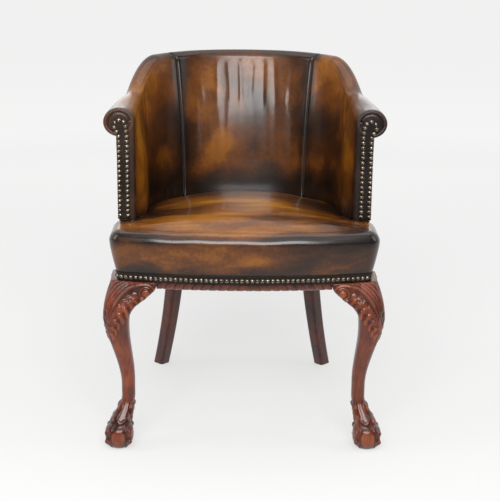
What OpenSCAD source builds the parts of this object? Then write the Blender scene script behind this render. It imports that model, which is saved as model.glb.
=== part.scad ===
// Desk chair: a leather tub armchair on carved cabriole front legs.
// Millimetres, +Z up, front towards -Y, origin on the floor under the middle of the chair.
// Left is -X and right is +X, as seen by someone who stands in front of the chair.

/* [Seat] */
// Width across the widest line of the seat front
seat_w = 586; // [546:2:626]
// How far the seat front bows forward at its middle
seat_bow = 30; // [16:1:44]
// Radius of the two front corners of the seat
seat_corner_r = 32; // [24:1:44]
// Distance from the front feet forward to the corners of the seat front
seat_front_reach = 20; // [10:1:30]
// Height of the widest line of the seat front above the rails
seat_edge_rise = 34; // [26:1:44]
// Height of the seat top above the rails where it meets the arms
seat_side_rise = 59; // [52:1:68]
// Height of the crown in the middle of the seat above the rails
seat_crown_rise = 78; // [70:1:92]
// Height of the seat top above the rails where it meets the back
seat_back_rise = 50; // [44:1:58]

/* [Tub] */
// Distance of the inner faces of the arms inside the widest line of the seat
arm_inset = 52; // [47:0.5:58]
// Distance from the front feet back to the front of the arms
arm_front_y = 85; // [76:1:110]
// Distance from the front feet back to the back lining at seat height
back_inner_y = 465; // [440:1:490]
// Angle at which the back leans away
back_rake = 7.5; // [4:0.5:11]
// Thickness of the upholstered wall at the front of the arms
wall_t = 42; // [41:0.5:45]
// Thickness of the upholstered wall under the roll of the back
back_wall_t = 36; // [35:0.5:37]
// Radius of the inner corners of the tub in plan
tub_corner_r = 200; // [188:1:212]
// Height of the top of the arms
arm_top_h = 753; // [730:1:776]
// Height of the top of the back
back_top_h = 841; // [820:1:866]
// Half the width of the scroll at the front of the arms
scroll_r = 34; // [32:1:37]
// Half the height of the scroll at the front of the arms
scroll_half_h = 31; // [29:1:34]
// Radius of the roll along the top of the back
crest_r = 20; // [19.5:0.5:22]
// How far the padding swells inwards low on the arms and back
pad_swell = 18; // [8:1:22]

/* [Frame] */
// Height of the underside of the seat rails above the floor
rail_bottom_h = 390; // [380:1:400]
// Height of the seat rails
rail_h = 54; // [46:1:58]
// Thickness of the seat rails
rail_t = 25; // [20:1:28]
// Depth of the rails under the roll of the arms and back
arm_rail_h = 34; // [26:1:40]
// Width of the arm posts, front to back
post_w = 40; // [30:1:50]

/* [Front legs] */
// Distance of the foot centres inside the widest line of the seat
foot_inset = 14.5; // [9:0.5:20]
// Radius of the ball in the foot
ball_r = 32; // [29:1:34]
// How far a toe stands out from the ball
toe_h = 9.5; // [7:0.5:11]
// Height at which the toes leave the ankle
foot_h = 108; // [98:1:118]
// Half the thickness of the ankle
ankle_half = 15; // [13.5:0.5:18]
// Half the thickness of the knee
knee_half = 27.5; // [25:0.5:30]
// How far the ankle lies inside the foot, along each side of the chair
ankle_in = 20.5; // [16:0.5:27]
// How far the knee stands out past the square top of the leg
knee_out = 16; // [10:1:20]
// Width of the square top of the leg
leg_top_w = 45; // [40:1:48]

/* [Back legs] */
// How far the back feet stand outside the tops of the legs
back_foot_out = 51; // [40:1:60]
// How far the back feet stand behind the tops of the legs
back_foot_back = 112; // [96:1:126]
// Larger side of the back foot
back_foot_w = 34; // [28:1:38]
// Smaller side of the back foot
back_foot_t = 29; // [24:1:32]

/* [Trim] */
// Diameter of a nail head
nail_d = 9.6; // [7:0.1:10.2]
// Height of a nail head
nail_h = 3; // [2:0.1:4]
// Distance between nails in a row
nail_pitch = 11; // [10.6:0.1:14]
// Height of the leather banding that carries the nails
banding_h = 20; // [16:1:24]
// Height of the gadrooned moulding under the front rail
gadroon_h = 17; // [14:1:20]
// Distance between the lobes of the gadrooned moulding
gadroon_pitch = 19.7; // [15:0.1:26]
// Diameter of the piping in the back seams
piping_d = 6; // [5:0.5:6.5]

/* [Hidden] */

// Clearance between pieces that lie on each other
seat_gap = 0.3;
// Clearance between pieces that follow the same curve with other facets
curve_gap = 0.6;
// Overrun of every cut
over = 2;

// Colours
mahogany = "#5f2c1b";
beech = "#b98d5a";
hide = "#6b3a14";
hide_dark = "#33231a";
brass = "#b9ab8c";
canvas = "#b7a98a";
cloth_black = "#1d1b1a";

function smooth(t) = let (c = min(1, max(0, t))) c * c * (3 - 2 * c);
function mix(a, b, t) = a + (b - a) * t;
function flip(p) = [-p.x, p.y];
function turned(v, a) = [v.x * cos(a) - v.y * sin(a), v.x * sin(a) + v.y * cos(a)];

// A closed skin through rings of points, each with the same number of points. The rings run
// counter-clockwise, seen from the end that they go towards. The ends are closed by a fan,
// or by rungs where a ring folds back along itself.
module skin(rings, rungs = false) {
    n = len(rings[0]);
    m = len(rings);
    half = n / 2;
    walls = [for (j = [0 : m - 2], i = [0 : n - 1]) let (k = (i + 1) % n, a = j * n, b = a + n)
        each [[a + i, b + k, a + k], [a + i, b + i, b + k]]];
    fan = [for (i = [1 : n - 2]) [0, i, i + 1]];
    ladder = [for (i = [0 : half - 2]) let (a = n - 1 - i, b = n - 2 - i)
        each [[i, i + 1, b], [i, b, a]]];
    cap = rungs ? ladder : fan;
    shift = (m - 1) * n;
    last = [for (f = cap) [f[0] + shift, f[2] + shift, f[1] + shift]];
    polyhedron(points = [for (r = rings) each r], faces = concat(cap, walls, last), convexity = 6);
}

// The right piece is drawn, and the left one is its mirror image.
module mirrored(side) {
    mirror([side < 0 ? 1 : 0, 0, 0]) children();
}

// Everything is drawn from the front feet, then moved so that the middle of the depth is at zero.
module placed() {
    translate([0, -mid_y, 0]) children();
}

// PLAN OF THE TUB
// Half of it runs from the front of the right arm, share 0, to the middle of the back, share 1:
// a straight arm, a round corner and a shallow bow across the back.
arm_half = seat_w / 2 - arm_inset;
straight_share = 0.354;
corner_share = 0.856;
corner_turn = 72;
arc_step = (arm_half - tub_corner_r) / cos(corner_turn);
back_arc_r = tub_corner_r + arc_step;
rail_top_h = rail_bottom_h + rail_h;
seat_edge_h = rail_top_h + seat_edge_rise;
seat_side_h = rail_top_h + seat_side_rise;
seat_crown_h = rail_top_h + seat_crown_rise;
seat_back_h = rail_top_h + seat_back_rise;
// The back leans from the top of the rails upwards.
function back_y(z) = back_inner_y + (max(z, rail_top_h) - seat_back_h) * tan(back_rake);
function corner_y(z) = back_y(z) - tub_corner_r - arc_step * (1 - sin(corner_turn));
function turn_at(u) = u < straight_share ? 0
    : u < corner_share ? corner_turn * (u - straight_share) / (corner_share - straight_share)
    : mix(corner_turn, 90, (u - corner_share) / (1 - corner_share));
function plan(u, z, o) = let (a = turn_at(u), y = corner_y(z))
    u < straight_share ? [arm_half + o, mix(arm_front_y, y, u / straight_share)]
    : u < corner_share ? [arm_half - tub_corner_r + (tub_corner_r + o) * cos(a),
        y + (tub_corner_r + o) * sin(a)]
    : [(back_arc_r + o) * cos(a), y - arc_step * sin(corner_turn) + (back_arc_r + o) * sin(a)];
// Shares past 1 carry on round the back to the left arm.
function wall(u, z, o) = let (p = u <= 1 ? plan(u, z, o) : flip(plan(2 - u, z, o))) [p.x, p.y, z];
// All pieces that follow the wall bend at the same shares, so that they lie on each other.
straight_cells = 6;
corner_cells = 14;
bow_cells = 5;
half_nodes = concat([for (i = [0 : straight_cells - 1]) straight_share * i / straight_cells],
    [for (i = [0 : corner_cells - 1]) mix(straight_share, corner_share, i / corner_cells)],
    [for (i = [0 : bow_cells - 1]) mix(corner_share, 1, i / bow_cells)]);
wall_nodes = concat(half_nodes, [1], [for (i = [len(half_nodes) - 1 : -1 : 0]) 2 - half_nodes[i]]);
node_margin = 0.008;
function stations(u0, u1) = concat([u0],
    [for (u = wall_nodes) if (u > u0 + node_margin && u < u1 - node_margin) u], [u1]);

// Heights along the wall: level arms, a rise in an ogee, then a shallow arch over the back
arm_rise = 9;
crest_rise = 5;
arm_rise_share = 0.3;
rise_start_share = 0.346;
rise_end_share = 0.608;
roll_end_share = 0.42;
function half_share(u) = u <= 1 ? u : 2 - u;
function top_h(u) = let (h = half_share(u)) arm_top_h + arm_rise * smooth(h / arm_rise_share)
    + (back_top_h - crest_rise - arm_top_h - arm_rise)
        * smooth((h - rise_start_share) / (rise_end_share - rise_start_share))
    + crest_rise * sin(90 * max(0, h - rise_end_share) / (1 - rise_end_share));
// Half the width and half the height of the roll, which is wider than high at the front of the arms
function roll_r(u) = mix(scroll_r, crest_r, smooth(half_share(u) / roll_end_share));
function roll_v(u) = mix(scroll_half_h, crest_r, smooth(half_share(u) / roll_end_share));
function roll_h(u) = top_h(u) - roll_v(u);
// Underside of the roll at an offset from the inner face
function under_h(u, o) = roll_h(u) - roll_v(u) * sqrt(max(0, 1 - pow(o / roll_r(u) - 1, 2)));

// LAYERS OF THE WALL, as offsets outwards from the inner face
lining_t = 12;
panel_t = 3;
taper_in = 7;
frame_in = lining_t;
frame_out = wall_t - taper_in - panel_t - seat_gap;
frame_gap = 1;
pad_back = frame_in - frame_gap;
rail_out = frame_out;
rail_in = rail_out - rail_t;
roll_core_share = 0.3;
function core_top(u) = roll_h(u) + roll_core_share * roll_v(u);
function core_bottom(u) = core_top(u) - arm_rail_h;
// The outer leather slopes in from the roll down to the rails, more on the arms than on the back.
base_o = wall_t - taper_in;
function under_roll_o(u) = mix(wall_t, back_wall_t, smooth(half_share(u) / roll_end_share));
function outer_o(u, z) = mix(base_o, under_roll_o(u),
    min(1, max(0, (z - rail_bottom_h) / (arm_top_h - rail_bottom_h))));
swell_start_share = 0.04;
swell_full_share = 0.2;
function swell(u, z) = let (s = (z - seat_back_h) / (roll_h(u) - seat_back_h), c = min(1, max(0, s)))
    pad_swell * smooth((half_share(u) - swell_start_share) / (swell_full_share - swell_start_share))
    * (1 - c * c);

// SEAT OUTLINE
seat_half = seat_w / 2;
bow_from = seat_half - seat_corner_r;
bow_guess = atan(2 * seat_bow / bow_from);
bow_half = bow_from + seat_corner_r * sin(bow_guess);
bow_turn = atan(2 * seat_bow / bow_half);
seat_corner_y = -seat_front_reach + seat_corner_r * cos(bow_turn);
facing_t = 6;
ear_back_y = arm_front_y - facing_t - seat_gap;
function bow_normal(x) = let (a = atan(2 * seat_bow * x / (bow_half * bow_half))) [-sin(a), cos(a)];
// A point on the bow, moved inwards by an inset
function bow_pt(x, inset) =
    [x, -seat_front_reach - seat_bow * (1 - pow(x / bow_half, 2))] + inset * bow_normal(x);
// The point of the inset bow that lies at x
function bow_at(x, inset) = bow_pt(x - inset * bow_normal(x).x, inset);
// A point on the right front corner: t runs from the bow, 0, to the side, 1
function corner_pt(t, inset) = let (a = mix(-90 + bow_turn, 0, t))
    [bow_from, seat_corner_y] + (seat_corner_r - inset) * [cos(a), sin(a)];
bow_steps = 6;
corner_steps = 4;
ear_steps = 2;
// The right half of the seat front, from beside the middle of the bow to the back of the ear
function front_half(inset, back_y) = concat(
    [for (i = [0 : bow_steps - 1]) bow_pt(bow_half * (i + 0.5) / bow_steps, inset)],
    [for (i = [0 : corner_steps]) corner_pt(i / corner_steps, inset)],
    [for (i = [1 : ear_steps]) [seat_half - inset, mix(seat_corner_y, back_y, i / ear_steps)]]);
function reversed(list) = [for (i = [len(list) - 1 : -1 : 0]) list[i]];
function both_halves(half) = concat([for (p = reversed(half)) flip(p)], half);
// The whole seat front, from the left ear to the right ear
function front_path(inset, back_y) = both_halves(front_half(inset, back_y));
// Insets of the outer leather and of the rail from the widest line of the seat
border_bottom_in = seat_half - arm_half - base_o;
border_top_in = border_bottom_in / 2;
rail_front_in = seat_half - arm_half - rail_out;
front_rail_face_y = -seat_front_reach + rail_front_in;

// DEPTH OF THE CHAIR
foot_x = seat_half - foot_inset;
roll_back_y = back_y(roll_h(1)) + 2 * crest_r;
leg_share = 0.732;
back_leg_top_w = 39;
back_leg_top_t = 33;
back_leg_top = plan(leg_share, rail_top_h, rail_out - back_leg_top_t / 2 - curve_gap);
back_foot = back_leg_top + [back_foot_out, back_foot_back];
foot_turn = 45;
rear_y = max(roll_back_y, back_foot.y + (back_foot_w * sin(foot_turn) + back_foot_t * cos(foot_turn)) / 2);
front_y = -seat_front_reach - seat_bow;
mid_y = (front_y + rear_y) / 2;

// FRONT LEGS
// The leg is drawn about the middle of its foot, and its curve lies in the chair's diagonal.
leg_points = 32;
foot_rings = 15;
leg_rings = 16;
toe_angle = 12;
knuckle_pitch = 24;
knuckle_top = 92;
knuckle_share = 0.3;
leg_h = rail_bottom_h - seat_gap;
knee_h = leg_h * 0.785;
shin_h = foot_h * 1.35;
post_out_x = arm_half + rail_out;
post_in_x = post_out_x - leg_top_w;
post_back_y = front_rail_face_y + leg_top_w;
post_lap = 12;
top_half = (leg_top_w + knee_out) / 2;
top_in = foot_x - post_in_x - top_half;
ball_mid = ball_r * 0.97;
ball_reach = ball_r * 1.05;
ball_power = 2.4;
sole_r = 13;
sole_h = 1.5;
collar_r = 22;
function axis_in(z) = z < shin_h ? ankle_in * smooth((z / foot_h - 0.35) / 0.75)
    : z < knee_h ? ankle_in * (1 - smooth((z - shin_h) / (knee_h - shin_h)))
    : top_in * pow((z - knee_h) / (leg_h - knee_h), 1.8);
function leg_half(z) = z < shin_h ? ankle_half
    : z < knee_h ? mix(ankle_half, knee_half, pow((z - shin_h) / (knee_h - shin_h), 1.3))
    : mix(knee_half, top_half, (z - knee_h) / (leg_h - knee_h));
function ball(z) = let (s = min(1, abs(z - ball_mid) / ball_reach))
    ball_r * pow(1 - pow(s, ball_power), 1 / ball_power);
function collar(z) = mix(collar_r, ankle_half, smooth((z - 2 * ball_mid) / (foot_h - 2 * ball_mid)));
function foot_half(z) = z < ball_mid ? ball(z) : max(ball(z), collar(z));
function toe(z) = toe_h * smooth((foot_h - z) / foot_h * 8) * mix(0.35, 1, smooth(z / ball_r * 2))
    * (1 - knuckle_share + knuckle_share * cos(360 * (z - knuckle_top) / knuckle_pitch));
function from_toe(a) = abs((a % 90) - 45);
function super_r(a, n) = 1 / pow(pow(abs(cos(a)), n) + pow(abs(sin(a)), n), 1 / n);
function squareness(z) = mix(2.2, 3.4, smooth((z - foot_h) / (leg_h - foot_h)));
function leg_r(a, z) = z < foot_h ? foot_half(z) + toe(z) * exp(-pow(from_toe(a) / toe_angle, 2))
    : leg_half(z) * super_r(a, squareness(z));
function leg_ring(z) = [for (i = [0 : leg_points - 1]) let (a = 360 * i / leg_points, r = leg_r(a, z))
    [foot_x - axis_in(z) + r * cos(a), axis_in(z) + r * sin(a), z]];
leg_levels = concat([for (i = [0 : foot_rings - 1]) mix(sole_h, foot_h, i / foot_rings)],
    [for (i = [0 : leg_rings]) mix(foot_h, leg_h, i / leg_rings)]);

module front_leg(side) color(mahogany) placed() mirrored(side) {
    skin([for (z = leg_levels) leg_ring(z)]);
    translate([foot_x, 0, 0]) cylinder(r = sole_r, h = 2 * sole_h, $fn = 64);
    translate([0, 0, leg_h - post_lap]) linear_extrude(rail_top_h - leg_h + post_lap)
        polygon(concat([[post_in_x, post_back_y], [post_in_x, bow_at(post_in_x, rail_front_in).y]],
            [bow_pt(bow_half * (bow_steps - 0.5) / bow_steps, rail_front_in)],
            [for (i = [0 : corner_steps]) corner_pt(i / corner_steps, rail_front_in)],
            [[post_out_x, post_back_y]]));
}

// EARS
// Carved brackets beside the knee. The outline is that of the right one, seen from the front,
// as shares of its length and height; its other edge follows the knee.
ear_l = 60;
ear_t = 30;
ear_side_t = 26;
ear_share = 0.955;
ear_h = ear_share * (leg_h - knee_h);
ear_out = 19;
eye_r = 8.5;
eye_h = 1.5;
eye_in = 22.5;
eye_drop = 24.5;
ear_steps_up = 6;
ear_end_x = foot_x - knee_half - ear_l;
ear_curve_shares = [[1, 1], [1, 0.9], [0.96, 0.79], [0.84, 0.68], [0.68, 0.57], [0.5, 0.46],
    [0.31, 0.35], [0.15, 0.23], [0.05, 0.1]];
function knee_in_x(z) = foot_x - axis_in(z) - leg_half(z) - curve_gap;
function ear_outline() = concat(
    [for (s = ear_curve_shares) [foot_x - knee_half - ear_l * s.x, leg_h - ear_h * (1 - s.y)]],
    [for (i = [0 : ear_steps_up]) let (z = leg_h - ear_h * (1 - i / ear_steps_up)) [knee_in_x(z), z]]);

// The ear stands with its front face at y = 0.
module ear_shape(t) {
    rotate([90, 0, 0]) {
        translate([0, 0, -t]) linear_extrude(t) polygon(ear_outline());
        translate([ear_end_x + eye_in, leg_h - eye_drop, -t]) cylinder(r = eye_r, h = t + eye_h, $fn = 48);
    }
}

module ear_front(side) color(mahogany) placed() mirrored(side) difference() {
    translate([0, front_rail_face_y - ear_out, 0]) ear_shape(ear_t);
    translate([post_in_x - seat_gap, bow_at(post_in_x, rail_front_in).y - seat_gap, 0])
        cube([leg_top_w, ear_t, leg_h + over]);
}

// The side ear is the front one mirrored in the diagonal through the foot.
module ear_side(side) color(mahogany) placed() mirrored(side) difference() {
    translate([post_out_x + ear_out, foot_x, 0]) mirror([1, 1, 0]) ear_shape(ear_side_t);
    translate([post_out_x - ear_t, post_back_y + seat_gap - leg_top_w, 0])
        cube([ear_t + seat_gap, leg_top_w, leg_h + over]);
}

// BACK LEGS
back_leg_rings = 12;
leg_sweep_power = 1.6;
back_chamfer = 3;
function back_leg_pt(z) = back_leg_top
    + pow(1 - min(1, z / rail_bottom_h), leg_sweep_power) * [back_foot_out, back_foot_back];
function back_leg_turn(z) = mix(foot_turn, turn_at(leg_share), smooth(2 * z / rail_bottom_h - 1));
function chamfered(w, t) = let (x = w / 2, y = t / 2, c = back_chamfer) [[x, c - y], [x, y - c], [x - c, y],
    [c - x, y], [-x, y - c], [-x, c - y], [c - x, -y], [x - c, -y]];
function back_leg_section(z, grow = 0, through = 0) = let (s = smooth(z / rail_bottom_h),
        w = mix(back_foot_w, back_leg_top_t, s) + grow + through,
        t = mix(back_foot_t, back_leg_top_w, s) + grow)
    [for (p = chamfered(w, t)) back_leg_pt(z) + turned(p, back_leg_turn(z))];
function raised(path, z) = [for (p = path) [p.x, p.y, z]];

module back_leg(side) color(mahogany) placed() mirrored(side) {
    skin([for (i = [0 : back_leg_rings]) let (z = mix(sole_h, rail_bottom_h, i / back_leg_rings))
        raised(back_leg_section(z), z)]);
    linear_extrude(2 * sole_h) polygon(back_leg_section(0));
    translate([0, 0, rail_bottom_h - over]) linear_extrude(rail_h + over)
        polygon(back_leg_section(rail_bottom_h));
}

// Room for the top of the back leg: right through the rails, or only as deep as the leg
module back_leg_socket(through = 0) translate([0, 0, rail_bottom_h - over])
    linear_extrude(rail_h + 2 * over) polygon(back_leg_section(rail_bottom_h, 2 * seat_gap, through));

// SEAT RAILS
// A strip of the wall in plan, between two shares and two offsets
function strip(u0, u1, o0, o1) = let (us = stations(u0, u1)) concat(
    [for (u = us) let (p = wall(u, rail_top_h, o1)) [p.x, p.y]],
    [for (u = reversed(us)) let (p = wall(u, rail_top_h, o0)) [p.x, p.y]]);
function share_at(y) = straight_share * (y - arm_front_y) / (corner_y(rail_top_h) - arm_front_y);
side_rail_from = share_at(post_back_y + seat_gap);

module rail_strip(u0, u1) translate([0, 0, rail_bottom_h])
    linear_extrude(rail_h) polygon(strip(u0, u1, rail_in, rail_out));

module front_rail() color(beech) placed() translate([0, 0, rail_bottom_h]) linear_extrude(rail_h)
    let (half = post_in_x - seat_gap, steps = 14)
    polygon(concat([for (i = [0 : steps]) bow_pt(mix(-half, half, i / steps), rail_front_in)],
        [for (i = [steps : -1 : 0]) bow_pt(mix(-half, half, i / steps), rail_front_in) + [0, rail_t]]));

module side_rail(side) color(beech) placed() mirrored(side) difference() {
    rail_strip(side_rail_from, leg_share);
    back_leg_socket(rail_t);
}

module back_rail() color(beech) placed() difference() {
    rail_strip(leg_share, 2 - leg_share);
    for (side = [-1, 1]) mirrored(side) back_leg_socket(rail_t);
}

// CORNER BLOCKS
block_h = 32;
block_l = 48;
block_rise = (rail_h - block_h) / 2;
block_share = 0.1;

module corner_block_front(side) color(beech) placed() mirrored(side)
    translate([0, 0, rail_bottom_h + block_rise]) linear_extrude(block_h)
        let (x0 = post_in_x - block_l, x1 = post_in_x - seat_gap, x2 = arm_half + rail_in - seat_gap,
            steps = 3, y1 = post_back_y + seat_gap, face = rail_t + seat_gap)
        polygon(concat([for (i = [0 : steps]) bow_pt(mix(x0, x1, i / steps), rail_front_in) + [0, face]],
            [[x1, y1], [x2, y1], [x2, y1 + block_l / 2]]));

module corner_block_back(side) color(beech) placed() mirrored(side) difference() {
    translate([0, 0, rail_bottom_h + block_rise]) linear_extrude(block_h)
        polygon(strip(leg_share - block_share, leg_share + block_share, rail_in - rail_t,
            rail_in - seat_gap));
    back_leg_socket();
}

// GADROONED MOULDING
// Slanted lobes lean towards the middle of the chair from both sides.
gadroon_back = 14;
gadroon_lobe_h = 3;
gadroon_lean = 12;
gadroon_curve = 5;
gadroon_steps = 4;
gadroon_foot_share = 0.3;
gadroon_end_x = ear_end_x - seat_gap;
gadroon_t = rail_front_in + gadroon_back - border_bottom_in - gadroon_lobe_h;
function lobe(x, s) = gadroon_lobe_h * abs(sin(180 * (abs(x) - gadroon_lean * s) / gadroon_pitch + 90));
function gadroon_ring(x) = let (top = rail_bottom_h - seat_gap, back = rail_front_in + gadroon_back)
    concat([for (h = [1, 0]) let (p = bow_pt(x, back)) [p.x, p.y, top - h * gadroon_h]],
        [for (i = [0 : gadroon_curve]) let (s = i / gadroon_curve, r = lobe(x, s),
            out = mix(gadroon_foot_share * gadroon_t, gadroon_t, cos(90 * s)) + r * cos(90 * s),
            down = (gadroon_h - gadroon_lobe_h / 2) * sin(90 * s) + r / 2 * sin(90 * s),
            p = bow_pt(x, back - out)) [p.x, p.y, top - down]]);
gadroon_count = round(2 * gadroon_end_x / gadroon_pitch * gadroon_steps);

module gadroon_moulding() color(mahogany) placed()
    skin([for (i = [0 : gadroon_count])
        gadroon_ring(mix(-gadroon_end_x, gadroon_end_x, i / gadroon_count))]);

// FRAME OF THE TUB
back_post_from = 0.692;
back_post_to = 0.772;
rail_joint = 0.735;
rail_seam_share = 0.001;

module arm_post(side) color(beech) placed() mirrored(side) {
    x0 = arm_half + frame_in;
    y0 = arm_front_y + seat_gap;
    z0 = rail_top_h + seat_gap;
    translate([x0, y0, z0]) cube([frame_out - frame_in, post_w, core_bottom(0) - seat_gap - z0]);
}

// The post stands on the rails and leans with the wall.
post_ring_shares = [[0, 0], [0.5, 0], [1, 0], [1, 1], [0.5, 1], [0, 1]];
function back_post_ring(base) = [for (k = post_ring_shares)
    let (u = mix(back_post_from, back_post_to, k[0]),
        z = base ? rail_top_h + seat_gap : core_bottom(u) - curve_gap)
    wall(u, z, mix(frame_out, frame_in, k[1]))];

module back_post(side) color(beech) placed() mirrored(side)
    skin([back_post_ring(true), back_post_ring(false)]);

function frame_ring(u, in, out, low, high) = [wall(u, low, in), wall(u, high, in), wall(u, high, out),
    wall(u, low, out)];

module wall_rail(u0, u1)
    skin([for (u = stations(u0, u1)) frame_ring(u, frame_in, frame_out, core_bottom(u), core_top(u))]);

module arm_rail(side) color(beech) placed() mirrored(side)
    wall_rail(share_at(arm_front_y + seat_gap), rail_joint - rail_seam_share);

module crest_rail() color(beech) placed() wall_rail(rail_joint, 2 - rail_joint);

// WEBBING, SPRINGS AND CLOTHS UNDER THE SEAT
web_w = 50;
web_t = 2;
web_x = 112;
web_rows = [-1, 0, 1];
web_y0 = 100;
web_step = 84;
web_top = rail_bottom_h - seat_gap;
function back_line_y(x, o) = corner_y(rail_top_h) - arc_step * sin(corner_turn)
    + sqrt(pow(back_arc_r + o, 2) - x * x);

module webbing_lengthwise() color(canvas) placed() for (k = web_rows) {
    reach = web_x * abs(k) + web_w / 2;
    y0 = bow_pt(reach, rail_front_in + gadroon_back + curve_gap).y;
    y1 = back_line_y(reach, (rail_in + rail_out) / 2);
    translate([k * web_x - web_w / 2, y0, web_top - web_t]) cube([web_w, y1 - y0, web_t]);
}

module webbing_across() color(canvas) placed() for (k = [0 : 2]) {
    half = arm_half + (rail_in + rail_out) / 2;
    translate([-half, web_y0 + k * web_step - web_w / 2, web_top - 2 * web_t - seat_gap])
        cube([2 * half, web_w, web_t]);
}

// Waisted springs of one unbroken wire each, standing where the webs cross
spring_r = 36;
spring_waist_r = 24;
spring_wire_d = 3.6;
spring_turns = 4;
spring_turn_steps = 8;
spring_sides = 5;
spring_rise = 21;
spring_top = rail_top_h + spring_rise;
spring_steps = spring_turns * spring_turn_steps;
spring_bottom_h = web_top + seat_gap + spring_wire_d / 2;
function spring_pt(s) = let (r = mix(spring_r, spring_waist_r, sin(180 * s)), a = 360 * spring_turns * s)
    [r * cos(a), r * sin(a), mix(spring_bottom_h, spring_top - spring_wire_d / 2, s)];
function spring_ring(s) = let (p = spring_pt(s), a = 360 * spring_turns * s)
    [for (i = [0 : spring_sides - 1]) let (b = 360 * i / spring_sides)
        p + spring_wire_d / 2 * [-cos(b) * cos(a), -cos(b) * sin(a), sin(b)]];
spring_gap = min([for (i = [0 : spring_steps - spring_turn_steps])
    norm(spring_pt((i + spring_turn_steps) / spring_steps) - spring_pt(i / spring_steps))]) - spring_wire_d;
echo(str("Least gap between the turns of a spring: ", spring_gap));

module seat_springs() color("silver") placed() for (i = web_rows, k = [0 : 2])
    translate([i * web_x, web_y0 + k * web_step, 0])
        skin([for (j = [0 : spring_steps]) spring_ring(j / spring_steps)]);

canvas_t = 1.2;
canvas_margin = 8;
spring_reach = spring_r + spring_wire_d / 2 + canvas_margin;

module spring_canvas() color(canvas) placed()
    translate([-web_x - spring_reach, web_y0 - spring_reach, spring_top + seat_gap])
        cube([2 * (web_x + spring_reach), 2 * (web_step + spring_reach), canvas_t]);

cloth_t = 1;
cloth_top = web_top - 2 * web_t - 2 * seat_gap;

// The inner face of the rails in plan, between two shares
function rail_line(u0, u1, steps) = [for (i = [0 : steps])
    let (p = wall(mix(u0, u1, i / steps), rail_top_h, rail_in)) [p.x, p.y]];

module bottom_cloth() color(cloth_black) placed() translate([0, 0, cloth_top - cloth_t])
    linear_extrude(cloth_t)
    let (steps = 8, front = rail_front_in + gadroon_back + rail_t, reach = ear_end_x - rail_t,
        side = rail_line(share_at(post_back_y + block_l), leg_share - block_share, steps))
    polygon(concat([for (i = [0 : steps]) bow_pt(mix(-reach, reach, i / steps), front)], side,
        rail_line(leg_share + block_share, 2 - leg_share - block_share, steps),
        [for (p = reversed(side)) flip(p)]));

// SEAT CUSHION
// Its right half in plan: the seat front, the notch round the arm, then along the inside of the tub
tub_steps = 12;
cushion_gap = 1.3;
cushion_bottom_h = rail_top_h + seat_gap;
recess_h = spring_top + 2 * seat_gap + canvas_t;
recess_share = 0.84;
edge_round = 26;
function tub_share(i) = i / (tub_steps + 0.5);
// Height of the rim along the tub: it dips beside the sitter.
seat_valley = 9;
function rim_share_h(u) = mix(seat_side_h, seat_back_h, smooth(u)) - seat_valley * sin(180 * u);
// The tub side of the cushion, at a share of the height of the rim
function tub_half(s) = [for (i = [0 : tub_steps])
    let (u = tub_share(i), z = mix(cushion_bottom_h, rim_share_h(u), s),
        p = wall(u, z, -cushion_gap - swell(u, z))) [p.x, p.y]];
function cushion_half(inset, s) = concat(front_half(inset, ear_back_y),
    [[arm_half - cushion_gap, ear_back_y]], tub_half(s));
front_count = bow_steps + corner_steps + 1 + ear_steps;
half_count = front_count + tub_steps + 2;
// Each point of a ring is drawn in towards its own place on the chair's axis.
axis_front_y = 50;
function axis_y(i) = mix(axis_front_y, back_inner_y - tub_corner_r,
    max(0, i - front_count + 1) / (half_count - front_count + 1));
function drawn_in(half, s) = [for (i = [0 : len(half) - 1]) [half[i].x * s, mix(axis_y(i), half[i].y, s)]];
function closed_ring(half, heights) = concat(
    [for (i = [0 : len(half) - 1]) [half[i].x, half[i].y, heights[i]]],
    [for (i = [len(half) - 1 : -1 : 0]) [-half[i].x, half[i].y, heights[i]]]);
function level(z) = [for (i = [0 : half_count - 1]) z];
// Height of the rim, then a crown that swells above it
function rim_h(i, y) = i < front_count ? seat_side_h + nail_h * smooth(y / arm_front_y)
    : i == front_count ? seat_side_h : rim_share_h(tub_share(i - front_count - 1));
crown_front_power = 1.6;
crown_tub_power = 2.4;
crown_shares = [0.92, 0.8, 0.62, 0.42, 0.25];
function crown_heights(half, s) = [for (i = [0 : half_count - 1])
    let (power = i < front_count ? crown_front_power : crown_tub_power)
    mix(rim_h(i, half[i].y), seat_crown_h, 1 - pow(s, power))];
// Bullnose: inset of the front as a share, and height, which is 0 at the bottom, 1 at the widest
// line and 2 at the top
nose_shares = [[0.25, 0], [0.12, 0.5], [0, 1], [0.06, 1.37], [0.26, 1.74], [0.6, 1.95], [1, 2]];
widest_share = (seat_edge_h - cushion_bottom_h) / (seat_side_h - cushion_bottom_h);
function nose_share(s) = s < 1 ? widest_share * s : mix(widest_share, 1, s - 1);
function nose_heights(half, s) = [for (i = [0 : half_count - 1])
    mix(cushion_bottom_h, rim_h(i, half[i].y), s)];
cushion_rings = let (foot = cushion_half(edge_round / 4, 0), inner = drawn_in(foot, recess_share),
        core = drawn_in(foot, recess_share / 4), top = cushion_half(edge_round, 1))
    concat([closed_ring(core, level(recess_h)), closed_ring(inner, level(recess_h)),
            closed_ring(inner, level(cushion_bottom_h))],
        [for (s = nose_shares) let (h = nose_share(s[1]), half = cushion_half(edge_round * s[0], h))
            closed_ring(half, nose_heights(half, h))],
        [for (s = crown_shares) closed_ring(drawn_in(top, s), crown_heights(top, s))]);

module seat_cushion() color(hide) placed() skin(cushion_rings, rungs = true);

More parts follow.
